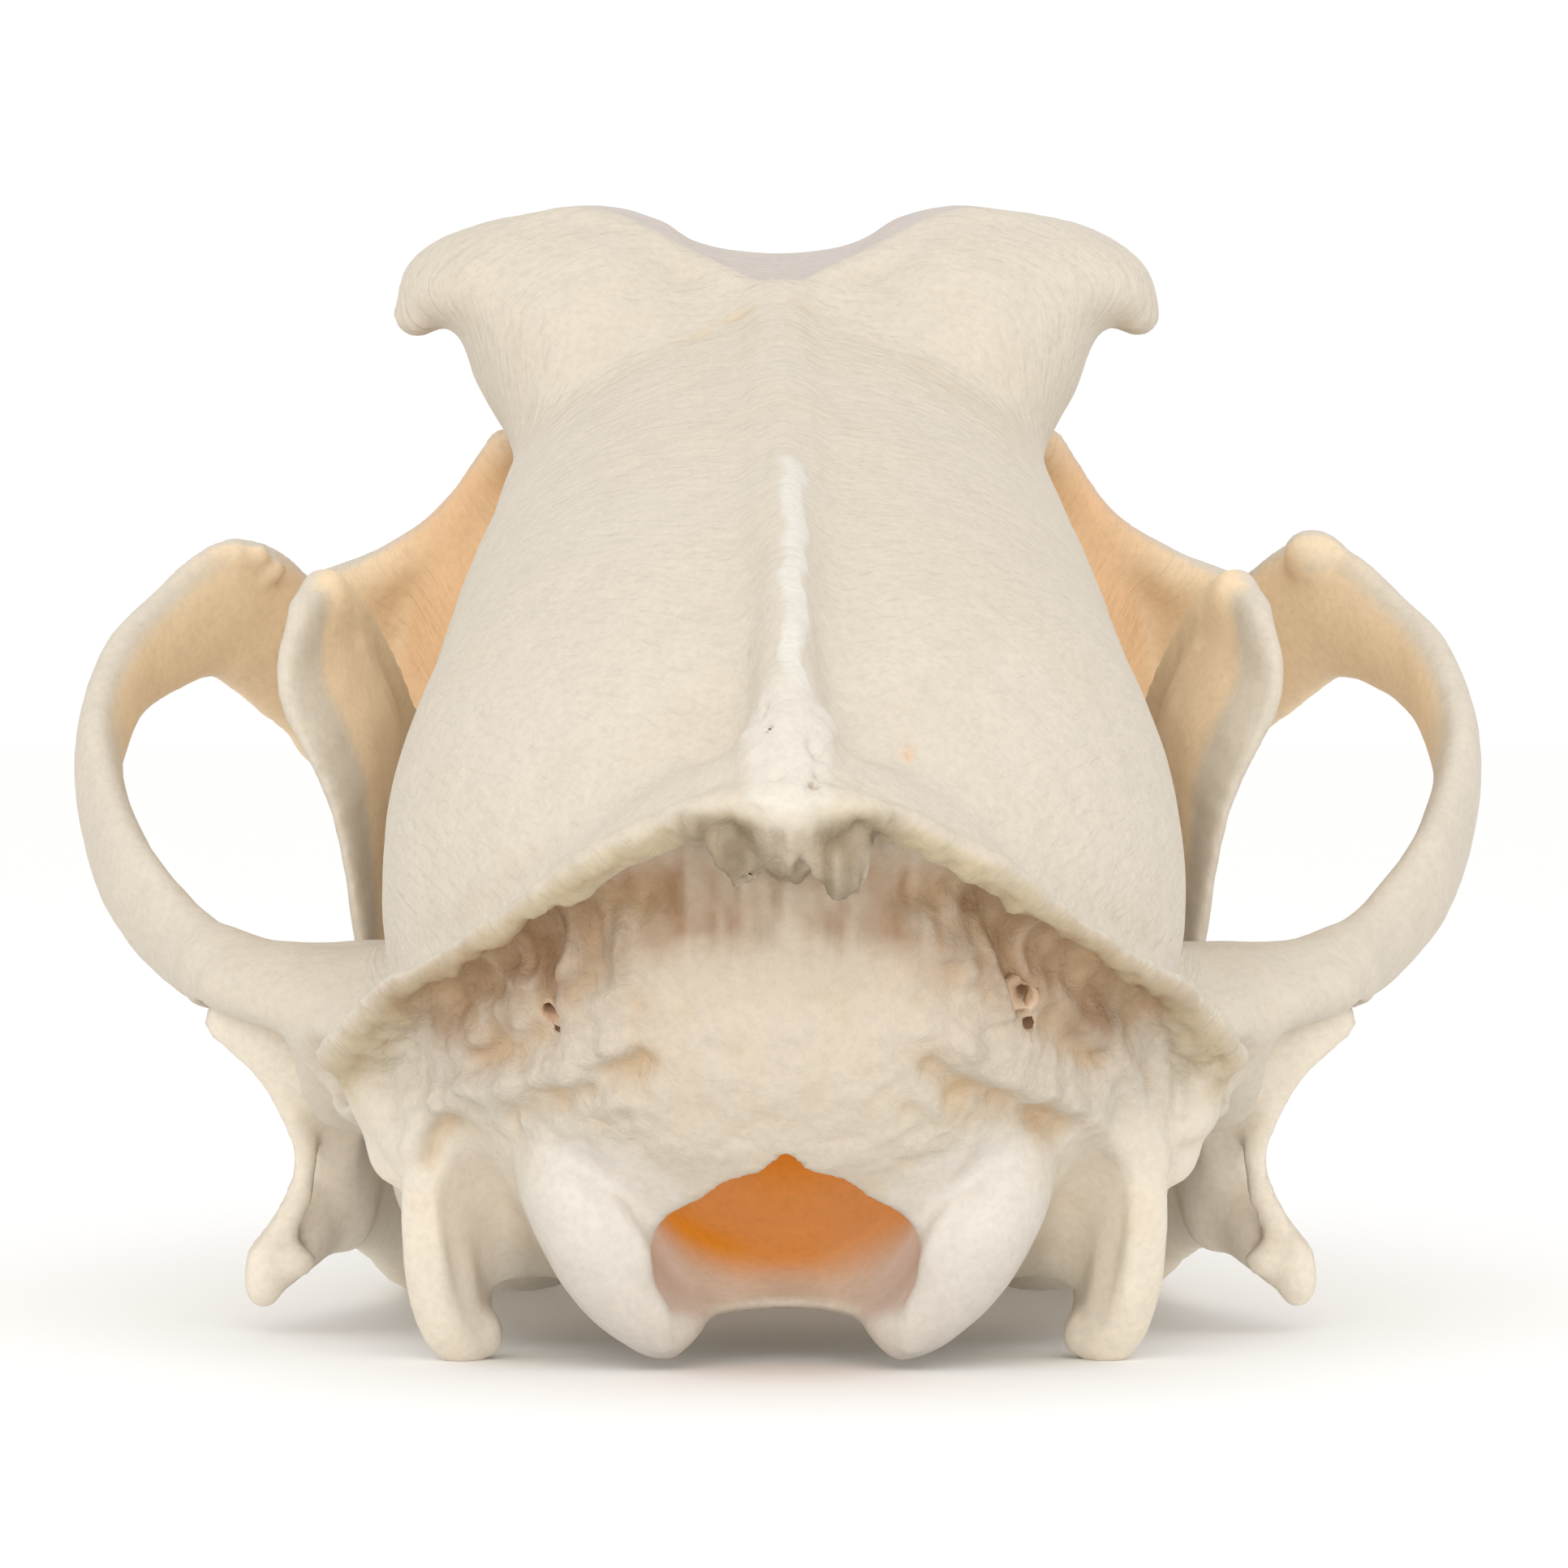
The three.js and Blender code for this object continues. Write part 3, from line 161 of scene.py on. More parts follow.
def limb(wide, knots, steps=5):
    """A swept ellipse. Each knot has its place, half width, half thickness and at times a new
    direction in which it is wide."""
    count = (len(knots) - 1) * steps
    places = spline([k[:3] for k in knots], count)
    sizes = spline([k[3:5] for k in knots], count)
    facing = np.array([k[5] if len(k) > 5 else wide for k in knots], float)
    facing = spline(facing / np.linalg.norm(facing, axis=1)[:, None], count)
    return [segment(places[n], places[n + 1], sizes[n], sizes[n + 1], facing[n], facing[n + 1])
            for n in range(count)]


def loft(stations, upper=2.0, lower=2.0):
    """A rounded section at each station along y: half width, then the heights of its underside,
    its widest level and its top. Upper and lower give how square the two halves are."""
    s = np.asarray(stations, float)
    spacing = 0.5
    ys = np.arange(s[0, 0], s[-1, 0] + 1e-6, spacing)
    n = np.clip(np.searchsorted(s[:, 0], ys, side="right"), 1, len(s) - 1)
    before, a, b = s[np.maximum(n - 2, 0)], s[n - 1], s[n]
    after = s[np.minimum(n + 1, len(s) - 1)]
    run = b[:, :1] - a[:, :1]
    f = (ys[:, None] - a[:, :1]) / run
    f2, f3 = f * f, f * f * f
    rise0 = (b - before) / (b[:, :1] - before[:, :1]) * run
    rise1 = (after - a) / (after[:, :1] - a[:, :1]) * run
    slices = ((2 * f3 - 3 * f2 + 1) * a + (f3 - 2 * f2 + f) * rise0
              + (3 * f2 - 2 * f3) * b + (f3 - f2) * rise1)
    first, last = ys[0], ys[-1]
    end_round = 3.0

    def distance(x, y, z):
        w, bottom, level, top = (np.interp(y, ys, slices[:, k]).astype(np.float32)
                                 for k in (1, 2, 3, 4))
        above = z > level
        h = np.where(above, top - level, level - bottom)
        power = np.where(above, upper, lower)
        u = np.abs(x) / w
        v = np.abs(z - level) / h
        q = np.maximum((u**power + v**power) ** (1 / power), 1e-3)
        slope = np.sqrt(((u / q) ** (power - 1) / w) ** 2 + ((v / q) ** (power - 1) / h) ** 2)
        end = np.maximum(first - y, y - last)
        return -soft_min(-(q - 1) / slope, -end + 0 * z, end_round)

    most = slices[:, 1].max()
    low = np.array([-most, first, slices[:, 2].min()])
    high = np.array([most, last, slices[:, 4].max()])
    return [(low, high, distance)]


def mirrored(side, values):
    """A place or direction given for the right side, on either side."""
    return (side * values[0], *values[1:])


def side_ball(side, centre, radii, turn=(0, 0, 0)):
    return ball(mirrored(side, centre), radii, (turn[0], side * turn[1], side * turn[2]))


def side_limb(side, wide, knots, steps=5):
    turned = [(*mirrored(side, k[:5]), *[mirrored(side, w) for w in k[5:]]) for k in knots]
    return limb(mirrored(side, wide), turned, steps)


# The grid is fine where the photograph looks and coarser towards the snout.
cranium = Clay(
    np.arange(-62, 62.01, 0.45),
    np.concatenate([np.arange(-28, 16, 0.45), np.arange(16, 80, 0.7), np.arange(80, 189, 0.9)]),
    np.arange(-14, 70.01, 0.45),
)
cranium.add(loft([
    (-13, 9, 26, 35, 44),
    (-8, 18, 17, 34, 50),
    (0, 25.2, 8, 31, 55.2),
    (10, 29.8, 6, 30, 58),
    (22, 31, 5, 31, 59.6),
    (37, 28.9, 5, 33, VAULT_TOP),
    (50, 27, 8, 36, VAULT_TOP),
    (61, 24.6, 12, 40, VAULT_TOP),
    (72, 22.2, 20, 45, 60),
    (82, 20.6, 26, 47, 60.4),
    (92, 19, 28, 46, 59.6),
    (104, 17, 24, 43, 54),
    (113, 15, 22, 39, 48),
], 2.15, 2.3))

# Muzzle
# The long upper jaw: the nose's bridge on top, the palate below and the sockets of the teeth
# along its sides. The photograph looks from behind and hides it, so it follows the species.
MUZZLE_TIP = 185
cranium.add(loft([
    (90, 26, 3, 8, 18),
    (98, 32, 3, 12, 34),
    (106, 34.5, 2, 13, 48),
    (114, 33.5, 1, 12, 48),
    (124, 28.5, 0.5, 11, 44),
    (137, 23.5, 0.5, 10, 40),
    (152, 20.6, 0.5, 10, 36.4),
    (162, 22, 0.5, 10, 34),
    (174, 19.6, 0.5, 9, 31),
    (180.5, 15.4, 0.5, 8, 26),
    (MUZZLE_TIP, 10, 1, 6, 17),
], 1.75, 3.4), 2.5)
for side in SIDES:
    # The swelling over the canine's root, then the ridge in which the cheek teeth are set.
    cranium.add(side_limb(side, (0, 0, 1), [
        (21, 163, 4, 5, 4), (20.5, 155, 12, 6, 3.6), (19, 148, 19, 4, 3)]), 3)
    cranium.add(side_limb(side, (0, 0, 1), [
        (25.6, 85, 6.6, 4.4, 4),
        (28.6, 97, 6, 4.8, 5.4),
        (29.8, 110, 5.8, 4.8, 5),
        (26.6, 124, 5.6, 4.6, 4),
        (23, 137, 5.4, 4.6, 3.6),
        (20.8, 150, 5.4, 4.6, 3.6),
        (19.4, 163, 5.6, 4.8, 4.6),
    ]), 2.5)
    # The opening under the eye for the nerve of the upper lip.
    cranium.cut(side_ball(side, (31, 129, 17), (3, 6, 4.6), (0, 0, 25)), 2)
    # The notch in which the lower canine stands when the jaws close.
    cranium.cut(side_limb(side, (0, 1, 0), [
        (15.2, 170.6, -3, 4, 4), (16.6, 171.2, 2, 3.2, 3.2), (18.8, 171.8, 7, 2, 2)]), 1)
# The vaulted palate, the nasal opening, and the passage that leaves above the palate.
cranium.cut(limb((1, 0, 0), [
    (0, 84, -1.6, 17, 4), (0, 108, -1.6, 20, 4.2), (0, 136, -1.6, 14, 3.6),
    (0, 170, -1.6, 9, 3)]), 2)
cranium.cut(limb((1, 0, 0), [
    (0, MUZZLE_TIP + 8, 22, 9, 10),
    (0, MUZZLE_TIP - 6, 19.5, 10.5, 10.4),
    (0, MUZZLE_TIP - 22, 18.5, 11, 9),
    (0, MUZZLE_TIP - 44, 19, 10, 8),
]), 2)
cranium.cut(limb((1, 0, 0), [
    (0, 58, -2, 9.6, 6), (0, 76, 3.5, 8.6, 6.5), (0, 96, 9.5, 9.5, 5), (0, 112, 13, 9, 4)]), 2)

# Pterygoid walls
# Two thin upright plates behind the palate that flank the passage to the throat. Each ends in a
# small hook.
for side in SIDES:
    cranium.add(side_limb(side, (0, 0, 1), [
        (11, 60, 10, 6, 1.4),
        (11.5, 70, 6, 8, 1.4),
        (12.5, 80, 5.5, 8.5, 1.6),
        (15, 90, 7, 7, 2.2),
        (19, 97, 6, 5, 3),
    ]), 2)

# Eye sockets
# Wide hollows under the forehead that stay open behind, because a dog has no bar of bone there.
for side in SIDES:
    cranium.cut(side_limb(side, (0, 1, 0), [
        (33, 80, 30, 12, 11), (35, 86, 38, 13, 12), (38, 88, 48, 12, 13)]), 3)
    cranium.cut(side_ball(side, (31, 94, 40), (9, 11, 10), (0, 0, -20)), 3)
    # The rim of the socket, from the forehead down to the cheek.
    cranium.add(side_limb(side, (0, 1, 0), [
        (23.6, 104.5, 38, 2, 1.8), (27.4, 107, 30.6, 2.4, 2), (32.5, 106.4, 27, 2.6, 2.2),
        (37.5, 104, 25, 2.6, 2.4), (41.5, 100.4, 24.6, 2.4, 2.4)]), 3)

# Forehead
# Two swollen lobes of the frontal bone with a groove between them. Each is drawn out sideways
# into a blunt process above the eye, and a low temporal line runs from it back to the midline.
LOBE_TOP = 64.6
for side in SIDES:
    cranium.add(side_ball(side, (15.6, 87, 54.4), (10.6, 17, LOBE_TOP - 54.4), (-5, 4, 0)), 5)
    cranium.add(side_limb(side, (0, 1, 0), [
        (18.5, 86, 57.4, 9, 4.6), (24, 87, 59.6, 7.5, 3.8), (28.4, 87.5, 58.4, 5, 3),
        (30.4, 87, 56, 3, 1.9)]), 4)
    cranium.add(side_limb(side, (0, 1, 0), [
        (29.4, 86, 58.4, 1.2, 1), (24, 86.4, 61.8, 1.6, 1.2), (17, 87, 64, 1.6, 1.2),
        (11.3, 84.6, 63, 1.6, 1), (6, 81, 61.2, 1.4, 1), (0.4, 76.6, 59.6, 1.2, 0.9)]), 1.4)
cranium.add(ball((0, 88, 51.6), (17, 17, 8.4)), 7)
cranium.cut(limb((1, 0, 0), [
    (0, 79, 61.6, 0.6, 1), (0, 86, 62.6, 6, 2.6), (0, 98, 61, 8.4, 3), (0, 113, 53.5, 5, 2)]), 2)

# Occiput
# The thick bone at the back of the head, with the foramen magnum for the spinal cord. The two
# condyles beside it bear the head, and a paracondylar process hangs down outside each of them.
CONDYLE_HALF = 20.4  # half the width across the two condyles
CONDYLE_MID, CONDYLE_Z = CONDYLE_HALF - 7.4, 10.9
cranium.add(loft([
    (-9, 9, 20, 27, 36), (-3, 16, 6, 20, 42), (4, 23, 3.2, 16, 44), (13, 28, 3.2, 15, 46),
    (24, 27, 4, 14, 42),
], 2.2, 3), 3)
cranium.add(loft([
    (-1, 9, 3.4, 5.6, 8), (12, 11.5, 3.2, 6, 10), (30, 11, 3.4, 7, 12), (48, 10, 5, 9, 14),
    (66, 9.5, 8, 13, 20),
], 2.6, 2.6), 3)
for side in SIDES:
    cranium.add(side_ball(side, (CONDYLE_MID, -1.8, CONDYLE_Z), (5.1, 7.4, 11.2), (0, 33, 0)), 1.6)
    cranium.add(side_limb(side, (0, 1, 0), [
        (26.6, 9, 18, 5, 3.6), (26.4, 7, 10, 5.4, 2.7), (26, 6, 3, 4.8, 2.7),
        (24.9, 6, -0.4, 4, 2.7)]), 3)
    cranium.add(side_limb(side, (0, 0, 1), [
        (25.5, 9, 8, 7, 1.6, (0.1, 0, 1)), (20, 11, 7, 5.5, 1.6, (0, 0, 1)),
        (14, 9, 6, 4, 2, (0, 0, 1))]), 3)
    # A ridge down the process's outer side, a hollow beside it and a lobed tip.
    cranium.add(side_limb(side, (1, 0, 0), [
        (27.4, 5, 17, 1.2, 1.2), (28.2, 3.8, 10, 1.1, 1.1), (27.6, 3.4, 4, 1.1, 1.1),
        (26.2, 3.6, 0.6, 1.3, 1.3)]), 1.4)
    cranium.cut(side_ball(side, (23.8, 2.2, 8.6), (2.0, 1.8, 7.0), (0, 6, 0)), 1.4)
    cranium.add(side_ball(side, (22.8, 5.2, -0.4), (1.3, 1.6, 1.8)), 0.8)
    cranium.cut(side_ball(side, (20.6, 0.5, 6), (2.6, 7, 9), (0, 18, 0)), 2.4)
# The neck's muscles left ridges and grooves, unlike on the two sides. Each has its height in
# millimetres, below zero for a groove, its half width, and the line that it follows.
NECK_MARKS = [
    (0.8, 0.8, [
        (-16.3, -9.1, 39.8), (-16.7, -8.9, 36.6), (-16.9, -8.6, 34.3), (-17.1, -8.3, 32.5)]),
    (-1.0, 0.9, [(-17.3, -8.5, 39.1), (-17.7, -8.2, 35.7), (-17.5, -8.1, 32.8)]),
    (0.5, 0.6, [(-17.9, -8.2, 38.3), (-18.4, -7.8, 36.2), (-18.7, -7.4, 34.4)]),
    (-1.0, 1.9, [(-14.6, -9.9, 37.7), (-14.5, -10.0, 36.1), (-14.6, -10.0, 34.8)]),
    (0.45, 0.7, [
        (-12.4, -10.8, 39.4), (-12.1, -11.0, 36.9), (-12.8, -10.7, 34.5), (-14.7, -9.9, 33.0)]),
    (0.6, 0.7, [(-22.2, -4.3, 33.2), (-20.4, -6.0, 33.4), (-19.1, -7.1, 33.5)]),
    (-1.0, 1.6, [(-23.0, -1.9, 25.2), (-20.5, -5.1, 27.5), (-18.0, -7.6, 29.3)]),
    (0.8, 1.3, [
        (-25.3, 2.8, 20.5), (-22.5, -2.1, 23.6), (-18.7, -6.3, 25.8), (-15.6, -8.8, 27.5),
        (-12.9, -10.5, 30.0)]),
    (-0.8, 1.2, [
        (-20.6, -3.2, 21.5), (-16.9, -7.3, 24.8), (-13.2, -9.9, 27.6), (-10.8, -11.2, 29.1)]),
    (0.8, 1.1, [(-28.3, 3.7, 15.5), (-27.1, 4.0, 18.1), (-25.7, 3.2, 20.3)]),
    (-0.9, 0.9, [(-27.0, 3.1, 15.1), (-26.6, 3.5, 16.9), (-25.4, 3.1, 18.8)]),
    (0.35, 0.6, [(-6.4, -12.9, 34.8), (-5.7, -13.0, 33.1), (-4.8, -13.0, 31.7)]),
    (0.8, 0.8, [(14.9, -9.7, 39.5), (15.4, -9.5, 36.7), (15.9, -9.2, 34.4), (16.2, -9.1, 32.5)]),
    (-1.1, 1.0, [(15.2, -9.7, 40.7), (16.2, -9.0, 37.5), (17.1, -8.5, 34.7), (17.7, -8.1, 32.5)]),
    (-0.5, 0.8, [(14.5, -9.9, 38.9), (14.8, -9.8, 36.2), (15.4, -9.5, 33.2)]),
    (0.4, 0.7, [(17.8, -8.3, 38.2), (17.9, -8.1, 35.8), (18.1, -7.8, 33.7)]),
    (0.5, 0.6, [(16.3, -9.0, 32.1), (14.1, -10.1, 32.2), (13.1, -10.6, 31.5), (13.0, -10.5, 30.2)]),
    (-0.9, 1.5, [(19.4, -6.3, 30.2), (22.0, -3.7, 27.8), (24.2, -0.6, 25.1)]),
    (0.8, 1.3, [
        (13.0, -10.5, 29.7), (15.7, -8.8, 27.2), (19.6, -4.8, 24.0), (22.9, -0.1, 20.3),
        (25.6, 3.0, 16.2)]),
    (-0.8, 1.2, [(10.8, -11.4, 28.6), (14.5, -9.1, 25.8), (19.0, -4.8, 22.3), (21.0, -2.3, 19.9)]),
    (0.6, 0.9, [(21.4, -4.5, 29.3), (24.7, 0.0, 25.6), (26.5, 3.9, 21.2), (27.0, 3.7, 18.6)]),
    # The hollows right under the crest.
    (-1.2, 1.9, [
        (-25.4, -0.4, 30.3), (-21.6, -4.9, 34.4), (-17.9, -8.6, 38.6), (-14.3, -9.9, 41.2),
        (-9.6, -11.1, 42.8)]),
    (-1.2, 1.9, [
        (9.6, -11.1, 42.8), (15.6, -9.8, 41.0), (18.7, -8.2, 38.0), (22.5, -3.9, 33.1),
        (27.2, 2.5, 27.5)]),
    # The smooth joint faces end at a faint ridge.
    (0.3, 0.7, [
        (-14.2, -8.0, 22.4), (-13.6, -7.4, 19.4), (-12.6, -7.4, 16.1), (-10.9, -7.9, 12.5),
        (-9.6, -7.6, 8.4), (-9.2, -6.9, 4.0)]),
    (0.3, 0.7, [
        (14.0, -8.0, 22.4), (13.2, -7.4, 19.4), (12.2, -7.4, 16.1), (10.9, -7.9, 12.5),
        (9.8, -7.6, 8.4), (9.4, -6.9, 4.0)]),
]
# Small holes for veins: where each opens, its half width across and its half height.
VEIN_HOLES = [
    ((-17.4, -8.1, 31.7), 0.8, 0.5), ((-17.0, -8.4, 30.7), 0.26, 0.26),
    ((17.5, -8.2, 32.9), 0.55, 0.8),
    ((17.9, -7.7, 30.6), 0.45, 0.6), ((-12.9, -10.5, 41.5), 0.35, 0.3),
    ((11.8, -10.9, 42.0), 0.3, 0.35),
    ((15.3, -9.7, 40.8), 0.35, 0.35), ((8.9, -6.7, 51.4), 0.35, 0.3),
]
for (x, y, z), across, up in VEIN_HOLES:
    cranium.cut(limb((1, 0, 0), [
        (x, y - 2, z, across, up), (x, y + 3, z, 0.8 * across, 0.8 * up)]), 0.3)
# The rough mastoid edge below the end of the crest, of knobs run together.
rng = np.random.default_rng(7)
for side in SIDES:
    for t in np.linspace(0, 1, 9):
        spot = np.array([32.6 - 4.2 * t, 9.6 - 4.6 * t, 19.4 - 5.6 * t]) + rng.uniform(-0.7, 0.7, 3)
        cranium.add(side_ball(side, spot, rng.uniform(0.8, 1.9, 3)), 0.8)
    cranium.add(side_ball(side, (29.8, 9.2, 13.2), (2, 2.4, 2.4)), 1.2)

# Ear capsules
# The swollen, thin-walled bulla under each ear, with the ear opening on its outer side.
for side in SIDES:
    cranium.add(side_ball(side, (21.5, 28, 3.2), (9.5, 13.5, 8.6), (0, 0, -14)), 3)
    cranium.add(side_limb(side, (0, 0, 1), [(30, 26, 12, 5, 4), (33.5, 25, 14, 4.6, 4)]), 3)
    cranium.cut(side_ball(side, (35.5, 24.5, 13.6), (5, 3, 3)), 1.5)

# Cheek arches
# A slender bow of bone that leaves the braincase above the ear, sweeps out round the jaw muscle
# and joins the upper jaw under the eye. Its hind root carries the socket of the jaw joint.
JOINT_GAP = 0.8


def jaw_condyle(margin):
    bar = [
        (27.5, 36.8, 5.8, 2.6, 2.6), (33, 37.2, 7.4, 3.2, 3),
        (39.4, 38, 9.6, 3.3, 3), (44.4, 38.8, 11.8, 2.2, 2)]
    return [(x, y, z, a + margin, b + margin) for x, y, z, a, b in bar]


for side in SIDES:
    cranium.add(side_limb(side, (0, 1, 0), [
        (28, 29, 17.8, 8, 4.4), (34, 30.4, 16.8, 5.6, 3), (40, 34.8, 16, 4.4, 2.6),
        (44.8, 41, 15, 3.4, 3)]), 2.2)
    cranium.add(side_limb(side, (0, 0, 1), [
        (44.8, 41, 15, 3.2, 3),
        (ZYGOMATIC_HALF - 9.8, 48.5, 14.6, 4, 2.4),
        (ZYGOMATIC_HALF - 4.8, 57, 17.5, 4.6, 2.1),
        (ZYGOMATIC_HALF - 2, 68, 22.2, 4.6, 2),
        (ZYGOMATIC_HALF - 3.4, 78, 26, 4.2, 2.1),
        (ZYGOMATIC_HALF - 7, 85, 27.6, 4.8, 2.2),
        (ZYGOMATIC_HALF - 12, 91.5, 28, 6.2, 2.4),
        (ZYGOMATIC_HALF - 17, 98, 21.6, 6.4, 3),
        (38, 104, 18, 8.8, 4),
        (32.5, 109, 14, 11, 5),
    ]), 2)
    cranium.add(side_limb(side, (0, 1, 0), [
        (29, 33, 17, 7, 3), (37, 35.6, 16.4, 6, 2.4), (44, 38.4, 15.8, 4, 2)]), 1.6)
    cranium.add(side_limb(side, (1, 0, 0), [
        (33, 29, 14, 6, 2.6), (33.5, 30.5, 9, 5, 2), (34, 31.5, 6.4, 3.6, 1.5)]), 2)
    cranium.cut(side_limb(side, (0, 0, 1), jaw_condyle(JOINT_GAP)), 0.6)
# The low process at the top of the arch: ragged on the left, rounder and higher on the right.
FRONTAL_PROCESS = [
    (-44.4, 91.4, 32.9, 1.1), (-46.4, 90.8, 33.1, 1.3), (-48.4, 90.2, 32.4, 1.2),
    (-43.3, 92.4, 31.2, 1.2)]
for x, y, z, size in FRONTAL_PROCESS:
    cranium.add(ball((x, y, z), (size, size, size)), 0.8)
cranium.add(ball((45.8, 90.8, 33.2), (2.5, 2.2, 2.2)), 1.6)

# Crests
# Rough ridges that the neck and jaw muscles pulled up. The nuchal crest is a thin blade round
# the back of the head, and the low sagittal crest runs forward from its knob.
for side in SIDES:
    # The roof of the braincase rises to meet the blade.
    cranium.add(side_limb(side, (0, 1, 0), [
        (0, -4, 46, 8, 6.6), (7, -3.6, 45.4, 8, 6.2), (13, -1.5, 42, 7.5, 5.6),
        (18, 3.5, 36.5, 7, 5), (22.5, 8, 31, 6, 4.4)]), 3)
    cranium.add(side_limb(side, (0, 1, 0), [
        (0, -16.4, 53, 5.2, 1.7, (0, 1, 0.1)),
        (5.3, -15, 51.9, 5.2, 1.4, (-0.15, 1, 0.1)),
        (12.3, -11.5, 47.4, 5.4, 1.3, (-0.38, 0.9, 0.2)),
        (17.6, -6, 40.5, 5.4, 1.3, (-0.55, 0.8, 0.2)),
        (22.4, -0.2, 34.5, 5.2, 1.3, (-0.6, 0.78, 0.15)),
        (26.2, 5, 29.5, 4.6, 1.4, (-0.7, 0.7, 0.1)),
        (29.5, 8.2, 24.3, 3.6, 1.6, (-0.8, 0.6, 0)),
        (31.4, 10.6, 20.4, 2.8, 1.8, (-0.9, 0.4, 0)),
        (30.6, 10, 17, 2.6, 1.8, (-0.9, 0.4, 0)),
        (28.6, 9, 13, 2.4, 1.8, (-0.9, 0.4, 0)),
    ]), 2)
cranium.add(limb((0, 0, 1), [
    (0, 76, 60.3, 1.2, 1.1),
    (0, 55, 60.3, 1.4, 1.4),
    (0, 35, 60.2, 2, 1.8),
    (0, 15, 58.7, 3.4, 2.2),
    (0, -2, 55.6, 4.8, 2.4),
    (0, -13, 51.2, 6.4, 3),
    (0, -19.4, 51.6, 3, 3),
]), 3.4)
# Two flat, rough hooks hang from the knob, the right one the longer.
for x, length, spread in ((-3.6, 5.2, 0.9), (3.5, 6.3, 1.0)):
    for prong, reach in ((-1, 0.75), (0, 1.0), (1, 0.9)):
        drop = length * reach
        cranium.add(limb((1, 0, 0), [
            (x + 1.1 * prong, -18.2, 52.8, 0.9, 1.2),
            (x + (1.2 + 0.3 * spread) * prong, -20.4, 52.8 - 0.5 * drop, 1.0, 1.0),
            (x + (1.0 + 0.1 * spread) * prong, -21.3, 53 - drop, 0.8, 0.7)]), 0.5)
# The blade's rim is gently uneven, of low lumps run together and a few nicks.
RIM = spline([
    (0, -20.8, 53.2), (5.6, -19.6, 52.3), (13.6, -15.6, 47), (19.6, -9.6, 40), (25.2, -3.4, 33.8),
    (29.2, 2.4, 28.8), (32.2, 6.6, 24), (33.6, 9.6, 20.4)], 70)
for side in SIDES:
    for spot in RIM:
        spot = spot + rng.uniform(-0.2, 0.2, 3)
        cranium.add(side_ball(side, spot, rng.uniform((0.9, 0.3, 0.25), (1.5, 0.6, 0.4))), 1.6)
    for spot in RIM[rng.integers(6, 68, 9)]:
        cranium.cut(side_ball(side, spot - (0, 1.3, 0.6), rng.uniform(0.35, 0.75, 3)), 0.6)
# The knob is pitted and spiky.
for n in range(60):
    spot = rng.uniform((-3.6, -20.6, 0), (3.6, -10, 1))
    spot[2] = 53.9 + 0.3 * (spot[1] + 20.5) - 0.12 * spot[0] ** 2 + 0.5 * spot[2]
    lump = ball(spot, rng.uniform(0.35, 0.75, 3))
    if n % 4:
        cranium.add(lump, 0.9)
    else:
        cranium.cut(ball(spot + (0, -0.4, 0.5), rng.uniform(0.3, 0.55, 3)), 0.4)

# Foramen magnum
# The opening for the spinal cord, notched at its upper rim, and the hollow for the brain behind it.
FORAMEN_HALF = 10.4
cranium.cut(limb((1, 0, 0), [
    (0, -18, 11.4, FORAMEN_HALF, 6.8),
    (0, 0, 10.8, FORAMEN_HALF, 6.8),
    (0, 10, 12.5, FORAMEN_HALF, 7.6),
]), 1)
cranium.cut(limb((1, 0, 0), [
    (0, -6.5, 12.6, 7.6, 8), (0, -6.5, 17.2, 3.3, 8), (0, -6.6, 21.2, 0.8, 8)]), 0.2)
cranium.cut(ball((0, -4, 1.2), (7.6, 6.5, 3.6)), 1.6)
brain_hollow = loft([
    (6, 12, 7, 14, 22),
    (14, 31.6 - WALL - 5, 8.5, 26, 46),
    (26, 31.6 - WALL - 1.5, 9.5, 31, VAULT_TOP - WALL - 1),
    (44, 29 - WALL - 1, 12, 34, VAULT_TOP - WALL - 1),
    (56, 26 - WALL - 2, 20, 38, VAULT_TOP - WALL - 2),
    (62, 12, 30, 40, 50),
], 2, 2.2)
cranium.cut(brain_hollow, 2)

# Cranium surface
# Dry, cleaned bone: matt ivory with a faint sheen on worn edges and a fine grain of pores,
# painted warm light where the bone is thin and painted shade where it is sheltered.
REST_TILT = math.radians(20.5)
REST_BACK = 66.88
REST_LIFT = 0.62


